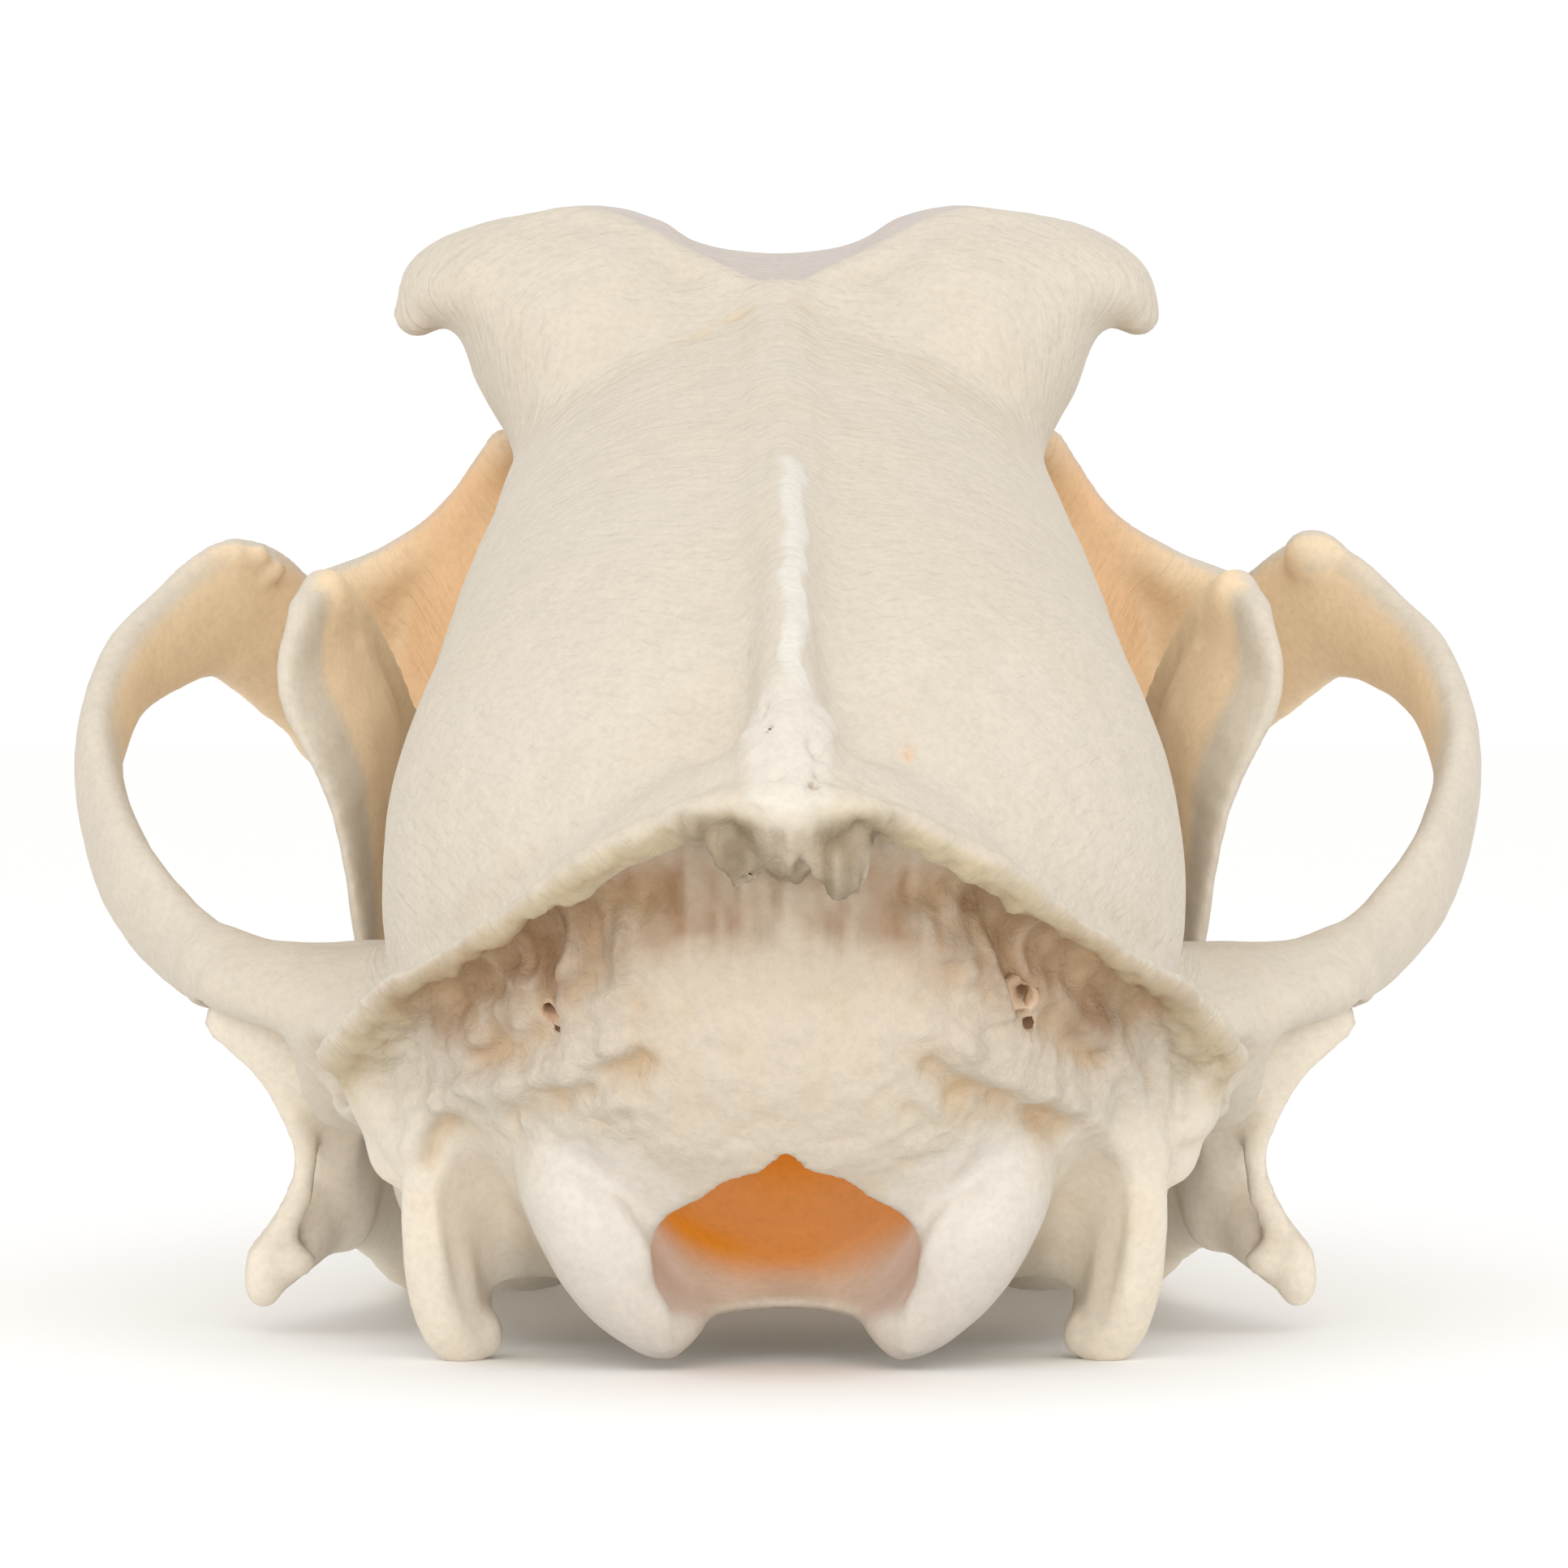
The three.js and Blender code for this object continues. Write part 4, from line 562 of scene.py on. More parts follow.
def skin(clay):
    """The clay's surface as points in millimetres and four-sided faces."""
    field = clay.field
    inside = field < 0
    near, far = slice(None, -1), slice(1, None)
    spans = [(i, j, k) for i in (near, far) for j in (near, far) for k in (near, far)]
    full = sum(inside[s].astype(np.int8) for s in spans)
    active = (full > 0) & (full < 8)
    index = np.full(active.shape, -1, np.int32)
    cells = np.argwhere(active)
    index[active] = np.arange(len(cells))
    total = np.zeros((len(cells), 3))
    hits = np.zeros(len(cells))
    for axis in range(3):
        others = [n for n in range(3) if n != axis]
        for shift in ((0, 0), (0, 1), (1, 0), (1, 1)):
            start = cells.copy()
            start[:, others[0]] += shift[0]
            start[:, others[1]] += shift[1]
            end = start.copy()
            end[:, axis] += 1
            a, b = field[tuple(start.T)], field[tuple(end.T)]
            cross = (a < 0) != (b < 0)
            place = np.stack([clay.axes[n][start[:, n]] for n in range(3)], 1).astype(float)
            gap = clay.axes[axis][end[:, axis]] - clay.axes[axis][start[:, axis]]
            place[:, axis] += gap * a / np.where(cross, a - b, 1)
            total[cross] += place[cross]
            hits[cross] += 1
    faces = []
    for axis in range(3):
        one, two = [(1, 2), (2, 0), (0, 1)][axis]
        low = [slice(1, -1)] * 3
        low[axis] = slice(0, -1)
        high = list(low)
        high[axis] = slice(1, None)
        a, b = inside[tuple(low)], inside[tuple(high)]
        for change, turn in ((a & ~b, 1), (~a & b, -1)):
            at = np.argwhere(change)
            at += [0 if n == axis else 1 for n in range(3)]
            ring = []
            for back in ((0, 0), (1, 0), (1, 1), (0, 1))[::turn]:
                corner = at.copy()
                corner[:, one] -= back[0]
                corner[:, two] -= back[1]
                ring.append(index[tuple(corner.T)])
            faces.append(np.stack(ring, 1))
    return total / hits[:, None], np.concatenate(faces)


def largest(points, faces):
    """Only the biggest connected part of a mesh."""
    label = np.arange(len(points))
    while True:
        lowest = label[faces].min(1)
        new = label.copy()
        for k in range(4):
            np.minimum.at(new, faces[:, k], lowest)
        new = new[new]
        if (new == label).all():
            break
        label = new
    root = np.bincount(label).argmax()
    keep = label == root
    number = np.cumsum(keep) - 1
    return points[keep], number[faces[keep[faces[:, 0]]]]


def normals(points, faces):
    """The direction that faces outward at each point."""
    a, b, c, d = (points[faces[:, k]] for k in range(4))
    across = np.cross(c - a, d - b)
    out = np.zeros_like(points)
    for k in range(4):
        for n in range(3):
            out[:, n] += np.bincount(faces[:, k], across[:, n], len(points))
    return out / np.maximum(np.linalg.norm(out, axis=1), 1e-9)[:, None]


def relaxed(points, faces, times, pull=0.5):
    """Evens out the stair steps that the grid leaves."""
    for _ in range(times):
        total = np.zeros_like(points)
        count = np.zeros(len(points))
        for a, b in ((0, 1), (1, 2), (2, 3), (3, 0)):
            for k, m in ((a, b), (b, a)):
                count += np.bincount(faces[:, k], minlength=len(points))
                for n in range(3):
                    total[:, n] += np.bincount(faces[:, k], points[faces[:, m], n], len(points))
        points = points + pull * (total / count[:, None] - points)
    return points


def noise(points, size, seed):
    """Smooth random values from -1 to 1 that change over a size in millimetres."""
    q = points / size
    cell = np.floor(q).astype(np.int64)
    f = q - cell
    f = f * f * f * (f * (f * 6 - 15) + 10)

    def corner(shift):
        h = (cell + shift) * np.array([73856093, 19349663, 83492791])
        h = h[:, 0] ^ h[:, 1] ^ h[:, 2] ^ (seed * 374761393)
        h = ((h ^ (h >> 13)) * 1274126177) & 0xFFFFFFFF
        return ((h ^ (h >> 16)) & 0xFFFF) / 32767.5 - 1

    out = np.zeros(len(points))
    for shift in np.ndindex(2, 2, 2):
        weight = np.prod(np.where(shift, f, 1 - f), axis=1)
        out += weight * corner(np.array(shift))
    return out


def step(value, low, high):
    """0 below low and 1 above high, with a smooth rise between."""
    t = np.clip((value - low) / (high - low), 0, 1)
    return t * t * (3 - 2 * t)


def sample(axes, field, points):
    """Values of a field between its grid places."""
    at, share = [], []
    for n in range(3):
        k = np.clip(np.searchsorted(axes[n], points[:, n]) - 1, 0, len(axes[n]) - 2)
        at.append(k)
        share.append(np.clip((points[:, n] - axes[n][k]) / (axes[n][k + 1] - axes[n][k]), 0, 1))
    out = np.zeros(len(points))
    for shift in np.ndindex(2, 2, 2):
        weight = np.prod([s if d else 1 - s for s, d in zip(share, shift)], axis=0)
        out += weight * field[tuple(a + d for a, d in zip(at, shift))]
    return out


def shelter(clay, points, outward, reach):
    """How far bone surrounds each point, 0 on an open face and 1 deep in a hollow."""
    coarse = 2.0
    axes = [np.arange(a[0] - 3 * reach, a[-1] + 3 * reach, coarse) for a in clay.axes]
    low = [np.clip(np.searchsorted(a, b), 0, len(a) - 1) for a, b in zip(clay.axes, axes)]
    solid = (clay.field[np.ix_(*low)] < 0).astype(np.float32)
    for n, (a, b) in enumerate(zip(clay.axes, axes)):
        within = (b >= a[0]) & (b <= a[-1])
        shape = [1, 1, 1]
        shape[n] = -1
        solid = solid * within.reshape(shape)
    width = max(1, int(round(reach / coarse)))
    for _ in range(3):
        for n in range(3):
            run = np.cumsum(solid, axis=n)
            at, last = np.arange(run.shape[n]), run.shape[n] - 1
            after = np.take(run, np.clip(at + width, 0, last), axis=n)
            before = np.take(run, np.clip(at - width - 1, 0, last), axis=n)
            solid = (after - before) / (2 * width + 1)
    return sample(axes, solid, points + outward * reach * 0.4)


def near_line(points, width, path):
    """1 on a bent line and falling smoothly to 0 about two widths away from it."""
    path = np.asarray(path, float)
    low, high = path.min(0) - 3 * width, path.max(0) + 3 * width
    chosen = np.flatnonzero(((points > low) & (points < high)).all(1))
    least = np.full(len(chosen), np.inf)
    for a, b in zip(path[:-1], path[1:]):
        ab = b - a
        away = points[chosen] - a
        t = np.clip(away @ ab / (ab @ ab), 0, 1)
        least = np.minimum(least, ((away - t[:, None] * ab) ** 2).sum(1))
    share = np.zeros(len(points))
    share[chosen] = np.exp(-least / width**2)
    return share


def rest_frame(points):
    """From the skull's own frame in millimetres to the frame in which it stands, in metres."""
    c, s = math.cos(REST_TILT), math.sin(REST_TILT)
    x, y, z = points.T
    return np.stack([x, y * c - z * s - REST_BACK, y * s + z * c + REST_LIFT], 1) / 1000


def mesh_piece(name, points, faces, masks):
    """A smooth mesh object from points in millimetres, with a named value for each point."""
    placed = rest_frame(points)
    placed[:, 2] = np.maximum(placed[:, 2], 0)
    mesh = bpy.data.meshes.new(name)
    mesh.vertices.add(len(placed))
    mesh.vertices.foreach_set("co", placed.astype(np.float32).ravel())
    mesh.loops.add(faces.size)
    mesh.loops.foreach_set("vertex_index", faces.astype(np.int32).ravel())
    mesh.polygons.add(len(faces))
    starts = np.arange(0, faces.size, faces.shape[1], dtype=np.int32)
    mesh.polygons.foreach_set("loop_start", starts)
    mesh.polygons.foreach_set("use_smooth", np.ones(len(faces), bool))
    mesh.update(calc_edges=True)
    mesh.validate()
    for key, values in masks.items():
        attribute = mesh.attributes.new(key, "FLOAT", "POINT")
        attribute.data.foreach_set("value", np.asarray(values, np.float32))
    piece = bpy.data.objects.new(name, mesh)
    bpy.context.scene.collection.objects.link(piece)
    return piece


def linear(hex_colour):
    """A linear colour from an sRGB hex value."""
    channels = [int(hex_colour[n:n + 2], 16) / 255 for n in (1, 3, 5)]
    return (*[c / 12.92 if c <= 0.04045 else ((c + 0.055) / 1.055) ** 2.4 for c in channels], 1)


def node(tree, kind, settings=(), links=()):
    """Adds a node with its settings and its links: (input, (node, output)) or (input, value)."""
    made = tree.nodes.new(kind)
    for key, value in dict(settings).items():
        setattr(made, key, value)
    for key, source in dict(links).items():
        if isinstance(source, tuple) and isinstance(source[0], bpy.types.Node):
            tree.links.new(source[0].outputs[source[1]], made.inputs[key])
        else:
            made.inputs[key].default_value = source
    return made


# Where the bone's colour departs from plain ivory, from the palest tone to the strongest. Some are
# the bone's own colour; others are painted shade or painted light, as marked.
BONE_TONES = {
    "smooth": "#D6CEC3",  # joint faces, polished and pale
    "strip": "#DAD4C9",  # the sagittal crest's worn top, whiter
    # Painted shade: the tan fades downward from the crest's overhang.
    "nuchal": "#CDBFAB",  # the upper part of the plane under the nuchal crest, tan
    # Partly the edge's own olive, and stronger on its underside as painted shade.
    "rim": "#BBA987",  # the nuchal crest's edge, olive
    # The hooks are darkened well beyond their grey-beige as painted shade, most where they face
    # back and down.
    "knob": "#8A7960",  # the hooks, grey-beige
    # Painted shade and bounced warm light, tan, where bone closes round a hollow.
    "hollow": "#D8B48A",  # sheltered bone, tan
    # Painted light: the peach stands in for light bounced and shining through thin bone.
    "inner": "#EACFA8",  # the inner faces of the cheek arches, peach
    # Painted shade and warm bounced light, orange, in the socket's depth and in the vein holes.
    "deep": "#D9A066",  # the socket's depth beside the braincase, orange
    "pit": "#CFAF86",  # pits and grooves of the rough plane, tan
    # Painted shade under the overhang of the nuchal crest.
    "recess": "#96714C",  # the hollow under the nuchal crest, brown
    "trough": "#C6BBB2",  # between the temporal lines, grey
    "suture": "#CDB07C",  # the seams of the skull's roof, yellow
    # Painted light: amber stands in for light seen through the braincase's thin walls.
    "amber": "#CF8B2C",  # the inside of the braincase, seen through the foramen magnum
}


def dry_bone():
    """Cleaned, degreased bone: matt, with pores and muscle marks, painted shade where it is
    sheltered and a painted glow where it is thin.
    """
    # Scales are for metres: a noise of scale 1500 has grains of about 0.7 mm.
    material = bpy.data.materials.new("dry_bone")
    material.use_nodes = True
    tree = material.node_tree
    tree.nodes.clear()
    place = node(tree, "ShaderNodeTexCoord")
    # Patches a few centimetres wide, as fat and handling leave in bone.
    patches = node(tree, "ShaderNodeTexNoise", {}, {
        "Vector": (place, "Object"), "Scale": 45.0, "Detail": 5.0, "Roughness": 0.6})
    mottle = node(tree, "ShaderNodeTexNoise", {}, {
        "Vector": (place, "Object"), "Scale": 320.0, "Detail": 4.0, "Roughness": 0.6})
    pores = node(tree, "ShaderNodeTexNoise", {}, {
        "Vector": (place, "Object"), "Scale": 1500.0, "Detail": 3.0, "Roughness": 0.65})
    colour = node(tree, "ShaderNodeMix", {"data_type": "RGBA"}, {
        0: (patches, "Fac"), 6: linear("#D3CABD"), 7: linear("#CFC2AC")})
    for mask, tone in BONE_TONES.items():
        where = node(tree, "ShaderNodeAttribute", {"attribute_name": mask})
        colour = node(tree, "ShaderNodeMix", {"data_type": "RGBA"}, {
            0: (where, "Fac"), 6: (colour, 2), 7: linear(tone)})
    # Blotches of a few millimetres, then pits and grains of well under one.
    blotch = node(tree, "ShaderNodeMapRange", {}, {
        "Value": (mottle, "Fac"), "From Min": 0.3, "From Max": 0.7, "To Min": 0.96, "To Max": 1.02})
    speck = node(tree, "ShaderNodeMapRange", {}, {
        "Value": (pores, "Fac"), "From Min": 0.25, "From Max": 0.6, "To Min": 0.9, "To Max": 1.0})
    shade = node(tree, "ShaderNodeMath", {"operation": "MULTIPLY"}, {0: (blotch, 0), 1: (speck, 0)})
    shaded = node(tree, "ShaderNodeVectorMath", {"operation": "SCALE"}, {
        0: (colour, 2), "Scale": (shade, 0)})
    # Muscle fibres left fine, drawn-out marks on the sides of the braincase.
    along = node(tree, "ShaderNodeAttribute", {"attribute_name": "fibre_along"})
    across = node(tree, "ShaderNodeAttribute", {"attribute_name": "fibre_across"})
    apart = node(tree, "ShaderNodeSeparateXYZ", {}, {0: (place, "Object")})
    sideways = node(tree, "ShaderNodeMath", {"operation": "MULTIPLY"}, {0: (apart, "X"), 1: 120.0})
    flow = node(tree, "ShaderNodeCombineXYZ", {}, {
        0: (along, "Fac"), 1: (across, "Fac"), 2: (sideways, 0)})
    fibres = node(tree, "ShaderNodeTexNoise", {}, {
        "Vector": (flow, 0), "Scale": 1.0, "Detail": 2.0, "Roughness": 0.5, "Distortion": 0.4})
    fibre = node(tree, "ShaderNodeAttribute", {"attribute_name": "fibre"})
    fine = node(tree, "ShaderNodeBump", {}, {
        "Strength": 0.35, "Distance": 0.00012, "Height": (pores, "Fac")})
    relief = node(tree, "ShaderNodeBump", {}, {
        "Strength": (fibre, "Fac"), "Distance": 0.0005, "Height": (fibres, "Fac"),
        "Normal": (fine, "Normal")})
    # The crust of fine bone where the neck's muscles held on.
    crust = node(tree, "ShaderNodeAttribute", {"attribute_name": "crust"})
    crumbs = node(tree, "ShaderNodeTexNoise", {}, {
        "Vector": (place, "Object"), "Scale": 620.0, "Detail": 6.0, "Roughness": 0.68,
        "Distortion": 0.6})
    rugged = node(tree, "ShaderNodeBump", {}, {
        "Strength": (crust, "Fac"), "Distance": 0.0009, "Height": (crumbs, "Fac"),
        "Normal": (relief, "Normal")})
    polish = node(tree, "ShaderNodeAttribute", {"attribute_name": "smooth"})
    gloss = node(tree, "ShaderNodeMapRange", {}, {
        "Value": (polish, "Fac"), "To Min": 0.6, "To Max": 0.42})
    # A painted glow, emitted by the surface, stands in for light that soaks through the thin walls
    # and makes them glow amber from within.
    painted_glow = node(tree, "ShaderNodeAttribute", {"attribute_name": "painted_glow"})
    shader = node(tree, "ShaderNodeBsdfPrincipled", {}, {
        "Base Color": (shaded, 0), "Roughness": (gloss, 0), "IOR": 1.5,
        "Normal": (rugged, "Normal"),
        "Emission Color": (shaded, 0), "Emission Strength": (painted_glow, "Fac")})
    node(tree, "ShaderNodeOutputMaterial", {}, {"Surface": (shader, "BSDF")})
    return material


points, faces = largest(*skin(cranium))
points = relaxed(points, faces, 2)
outward = normals(points, faces)
x, y, z = points.T
side_x = np.abs(x)
# Painted shade and bounced warm light in hollows, tan, from how far bone surrounds each point.
hollow = step(shelter(cranium, points, outward, 6.0), 0.5, 0.85)
# The plane under the nuchal crest faces back and is rough. The condyles and their rim are smooth.
edge_z = np.interp(side_x, RIM[:, 0], RIM[:, 2])
nuchal = step(-outward[:, 1], 0.15, 0.6) * step(14 - y, 0, 3)
nuchal *= step(z, -2, 6) * step(edge_z - z, 0.2, 1.4)
condyle = np.zeros(len(points))
for side in SIDES:
    away = ((x - side * CONDYLE_MID) / 7.6) ** 2 + ((y + 3) / 8.5) ** 2
    away += ((z - CONDYLE_Z) / 13) ** 2
    condyle = np.maximum(condyle, 1 - step(away, 0.75, 1.25))
# The nuchal crest's edge, the hooks under its knob, and the worn top of the sagittal crest. The
# edge's underside and the hooks are darkened as painted shade.
rim = np.zeros(len(points))
for side in SIDES:
    rim = np.maximum(rim, near_line(points, 2.4, (RIM[8:] - (0, 0.8, 0.6)) * (side, 1, 1)))
knob = near_line(points, 3.2, [(-4.4, -20, 51), (-3.6, -22, 48.4)])
knob = np.maximum(knob, near_line(points, 3.2, [(4.2, -20, 51), (3.9, -22, 47.8)]))
knob = np.maximum(knob, near_line(points, 2.6, [(0, -19, 52), (0, -16, 46)]))
knob = np.clip(1.4 * knob, 0, 1) * step(53.4 - z, 0, 1.2)
# Painted shade: only faces turned back and down get the dark tone.
knob *= step(-outward[:, 1] - 0.6 * outward[:, 2], -0.1, 0.5)
knob *= 0.85 + 0.3 * noise(points * (1, 1, 0.3), 0.7, 41)
wander = 0.35 * noise(points * (0, 1, 0), 3.0, 21) + 0.6 + 0.01 * (y - 10)
strip = (1 - step(np.abs(x - wander), 0.6, 1.1)) * step(z, 50, 54)
strip *= step(32 - y, 0, 3) * step(y, -14, -8)
strip = np.maximum(strip, 0.6 * step(-y, 6, 12) * step(3.6 - side_x, 0, 1.2) * step(z, 50, 53))
strip *= step(outward[:, 2], 0.3, 0.6)
# The inner faces of the arches' front ends, of the eye socket's floor and of the cheek, painted
# peach as light bounced and shining through thin bone.
inner = step(-outward[:, 0] * np.sign(x), 0, 0.5) * step(side_x, 38, 44)
inner *= step(y, 62, 74) * step(36 - z, 0, 3) * (1 - step(outward[:, 2], 0.25, 0.7))
socket = step(y, 84, 92) * step(side_x, 18, 24)
inner = np.maximum(inner, step(-outward[:, 1], 0, 0.4) * socket * step(48 - z, 0, 14))
# Painted orange shade and bounced light deep in the eye socket, beside the braincase.
deep = step(outward[:, 2] - outward[:, 1], 0, 0.4) * socket
deep *= step(37 - side_x, 0, 9) * step(44 - z, 0, 10)
# The hollow of the braincase, and the passage into it through the foramen magnum, painted amber as
# light through the thin bone.
inside = 1 - step(brain_hollow[0][2](x, y, z), 0.8, 1.6)
throat = step(11.8 - side_x, 0, 0.6) * step(z, 3.8, 4.6) * step(22 - z, 0, 1) * step(20 - y, 0, 2)
amber = np.maximum(inside, throat) * step(y, 1.5, 9) * (0.88 + 0.2 * noise(points, 6.5, 37))
# The hollow right under the crest is painted brown as shade, and the forehead's trough is greyer.
RECESS = [
    (-26, 0.5, 28.6), (-22, -4.6, 32.8), (-18.2, -8.4, 36.8), (-14, -10.6, 40), (-9, -11.8, 42),
    (-3, -12.6, 43)]
recess = np.zeros(len(points))
for side in SIDES:
    recess = np.maximum(recess, near_line(points, 3.9, RECESS * np.array((-side, 1, 1))))
recess = np.clip(1.4 * recess, 0, 1) * step(-outward[:, 1] - 0.4 * outward[:, 2], 0.0, 0.5)
recess *= 0.7 + 0.3 * noise(points, 2.4, 31) + 0.3 * noise(points * (1, 0.2, 0.22), 0.8, 32)
trough = step(z, 54, 57) * step(y - 0.72 * side_x, 76.6, 78) * step(20 - side_x, 0, 4)
# The seam between the forehead and the braincase's roof, which is partly closed.
suture = near_line(points, 0.8, [(-14, 64, 59), (-9, 68, 60), (-4, 72, 60.6), (-1, 74, 61)])
suture = np.maximum(suture, near_line(points, 0.8, [
    (16, 61, 57), (10, 67, 60), (4, 71.5, 60.6), (1, 74, 61)]))
suture *= step(noise(points, 2.2, 33), -0.5, 0.6)
# How far each point is lifted, in millimetres: broad swells, then grain on the rough plane.
lift = 0.10 * noise(points, 6.0, 1) + 0.06 * noise(points, 2.6, 2)
rough = nuchal * (1 - condyle)
lift -= 0.25 * suture
grainy = rough * (0.4 + 0.6 * step(side_x, 7, 13)) * step(z, 16, 22)
grain = 0.5 * noise(points, 3.6, 3) + 0.42 * noise(points, 1.8, 4) + 0.24 * noise(points, 1.0, 5)
lift += grainy * grain
# Short upright flutes right under the hooks.
flutes = rough * step(z, 36, 40) * step(9 - side_x, 0, 3)
lift -= flutes * 0.9 * np.maximum(noise(points * (1, 0.2, 0.22), 0.8, 6), 0)
below = step(-outward[:, 2], -0.5, 0.3)
lift += rim * below * (0.14 * noise(points, 2.0, 8) + 0.12 * noise(points, 1.1, 9))
lift += 0.3 * knob * noise(points * (1, 1, 0.25), 0.75, 9)
marks = np.zeros(len(points))
for height, width, path in NECK_MARKS:
    marks += height * near_line(points, width, path)
lift += 1.35 * marks
# The pits and grooves of the rough plane are coloured tan.
sunk = -0.9 * marks - 0.9 * grainy * grain + 0.2 * noise(points, 2.0, 35)
pit = 0.75 * rough * np.clip(sunk, 0, 1)
crust = np.clip(grainy + 0.5 * np.clip(rim, 0, 1) * below + 0.6 * knob, 0, 1)
lift += 0.2 * strip
# The vein holes get the same painted orange shade inside.
for spot, across, up in VEIN_HOLES:
    into = [spot + np.array((0, 0.5, 0)), spot + np.array((0, 3, 0))]
    deep = np.maximum(deep, near_line(points, 0.1 + max(across, up), into))
lift *= 1 - inside
# A painted glow on the processes beside the condyles stands in for the pale floor's light from
# below.
low_back_glow = step(20 - z, 0, 10) * step(side_x, 19, 22)
low_back_glow *= step(-outward[:, 1], 0, 0.5) * step(18 - y, 0, 6)
points = points + outward * lift[:, None]
# The fibres fan out from the jaw muscle's hold on the coronoid process.
round_vault = side_x + np.maximum(VAULT_TOP - z, 0)
fan_y, fan_h = y - 58, np.maximum(74 - round_vault, 1)
reach = np.hypot(fan_y, fan_h)
fibre_along = reach / 2.8
fibre = 0.6 * (1 - rough) * (1 - condyle) * (1 - inside)
fibre *= step(z, 12, 22) * (0.35 + 0.65 * step(44 - side_x, 0, 8))
fibre_across = np.arctan2(fan_y, fan_h) * 52 / 0.85
bone = dry_bone()
# Painted glow: emission inside the braincase, in the socket, on the arches and on the hind
# processes.
painted_glow = 0.4 * amber + 0.2 * throat * step(y, -3, 3) * (1 - amber)
painted_glow += 0.05 * deep + 0.04 * inner + 0.22 * low_back_glow
skull = mesh_piece("cranium", points, faces, {
    "smooth": condyle,
    "strip": strip,
    # Painted shade, strongest under the crest and fading downward.
    "nuchal": 0.8 * rough * step(z, 16, 38),
    # Painted shade: the rim's tone is strongest where it faces down.
    "rim": np.clip(rim, 0, 1) * (0.25 + 0.65 * below),
    "knob": knob,
    "hollow": 0.75 * hollow * (1 - condyle),
    "inner": 0.9 * inner,
    "deep": 0.55 * deep,
    "pit": pit,
    "recess": 0.8 * recess,
    "trough": 0.9 * trough,
    "suture": 0.5 * suture,
    "amber": amber,
    "painted_glow": painted_glow,
    "crust": 0.6 * crust,
    "fibre": fibre,
    "fibre_along": fibre_along,
    "fibre_across": fibre_across,
})
skull.data.materials.append(bone)
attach(skull, "root")
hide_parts("braincase_left", "braincase_right", "cranial_base", "occiput", "frontal",
            "muzzle", "zygomatic_arch_left", "zygomatic_arch_right")

# Lower jaw
# Two halves joined at the chin, each a deep body with a thin upright plate behind, the coronoid
# process, and the condyle that turns in the socket of the cheek arch.
jaw = Clay(np.arange(-4, 54, 0.6), np.arange(26, 184, 0.7), np.arange(-42, 48, 0.6))
jaw.add(limb((0, 0, 1), [
    (36, 45, -4, 6.4, 2.6),
    (33.6, 58, -8.6, 8.4, 3),
    (30.8, 74, -16.6, 10.6, 4.6),
    (28, 90, -22.8, 12, 5.6),
    (25.5, 107, -24.4, 12, 5.6),
    (22.6, 124, -22.6, 11, 5.2),
    (18.8, 141, -19.6, 9.8, 5),
    (14.4, 156, -16.4, 8.8, 5.2),
    (10.2, 168, -12.8, 7.6, 5.2),
    (6.4, 176.6, -9.4, 5.6, 4.4),
]))
jaw.add(limb((0, 0.2, 1), [
    (4.8, 152, -17.5, 5.6, 5.6), (4.6, 163, -14, 6.4, 5.6), (4.2, 173.5, -10, 5.6, 5)]), 2)
jaw.add(limb((0, 1, 0), [
    (33.6, 60, -6, 19, 2.6, (-0.18, 1, 0)),
    (32.4, 58.5, 6, 18, 1.9, (-0.14, 1, 0)),
    (31.9, 57, 16, 16.5, 1.6, (-0.12, 1, 0)),
    (33.4, 56, 28, 13, 1.6, (-0.2, 1, 0)),
    (37.2, 56.4, 36, 9.4, 1.7, (-0.32, 1, 0)),
    (37.8, 57, 41, 5, 1.5, (-0.3, 1, 0)),
]), 1.5)
jaw.add(limb((0, 1, 0), [
    (29.4, 82, -12, 5, 3.6), (29.8, 77.5, 4, 4, 2.8), (31.4, 70.5, 20, 3, 2.2),
    (34.6, 64, 35, 2.2, 1.8), (37, 58.5, 41.2, 2, 1.6)]), 2)
jaw.add(limb((0, 0, 1), jaw_condyle(0)), 0.5)
jaw.add(limb((0, 1, 0), [
    (36.6, 38.6, 7, 3.2, 4.4), (36.4, 42, 1, 4.6, 2.4), (35.6, 47, -5, 7, 2.4)]), 2)
jaw.add(limb((0, 0, 1), [
    (36, 44, -5, 5, 2.2), (38.6, 37, -6.6, 3, 1.9), (40.4, 32.6, -7.2, 2, 1.6)]), 1.6)
jaw.cut(ball((41.6, 58, 9), (7, 13, 15), (0, 4, 8)), 2)
# The angular process ends in a knob of two lobes, and a ridge climbs from it to the condyle.
jaw.add(ball((41.6, 31, -7.2), (1.7, 1.8, 2.9)), 1)
jaw.add(ball((39.2, 31.4, -6.2), (1.9, 1.5, 1.5)), 0.8)
jaw.add(limb((1, 0, 0), [
    (41.8, 37.6, 9.6, 1.4, 1.5), (39.2, 36.4, 4.6, 1.3, 1.4), (38.1, 35.6, 0.5, 1.2, 1.3),
    (39.6, 33.4, -3.2, 1.3, 1.2),
    (41.2, 31.6, -5.4, 1.4, 1.2)]), 0.8)
jaw.cut(ball((34.4, 35.6, 1.4), (2.6, 2.6, 5.4), (0, -14, 0)), 1.2)

# A groove down the inner face, between its middle swelling and the front edge.
jaw.cut(limb((0, 1, 0), [
    (31.6, 61.5, 37, 2.6, 1.6), (30.2, 63.5, 30, 3.4, 1.8), (29.2, 66, 22, 3.6, 1.8),
    (28.8, 66, 12, 3, 1.6)]), 1.6)

points, faces = largest(*skin(jaw))
points = relaxed(points, faces, 2)
outward = normals(points, faces)
x, y, z = points.T
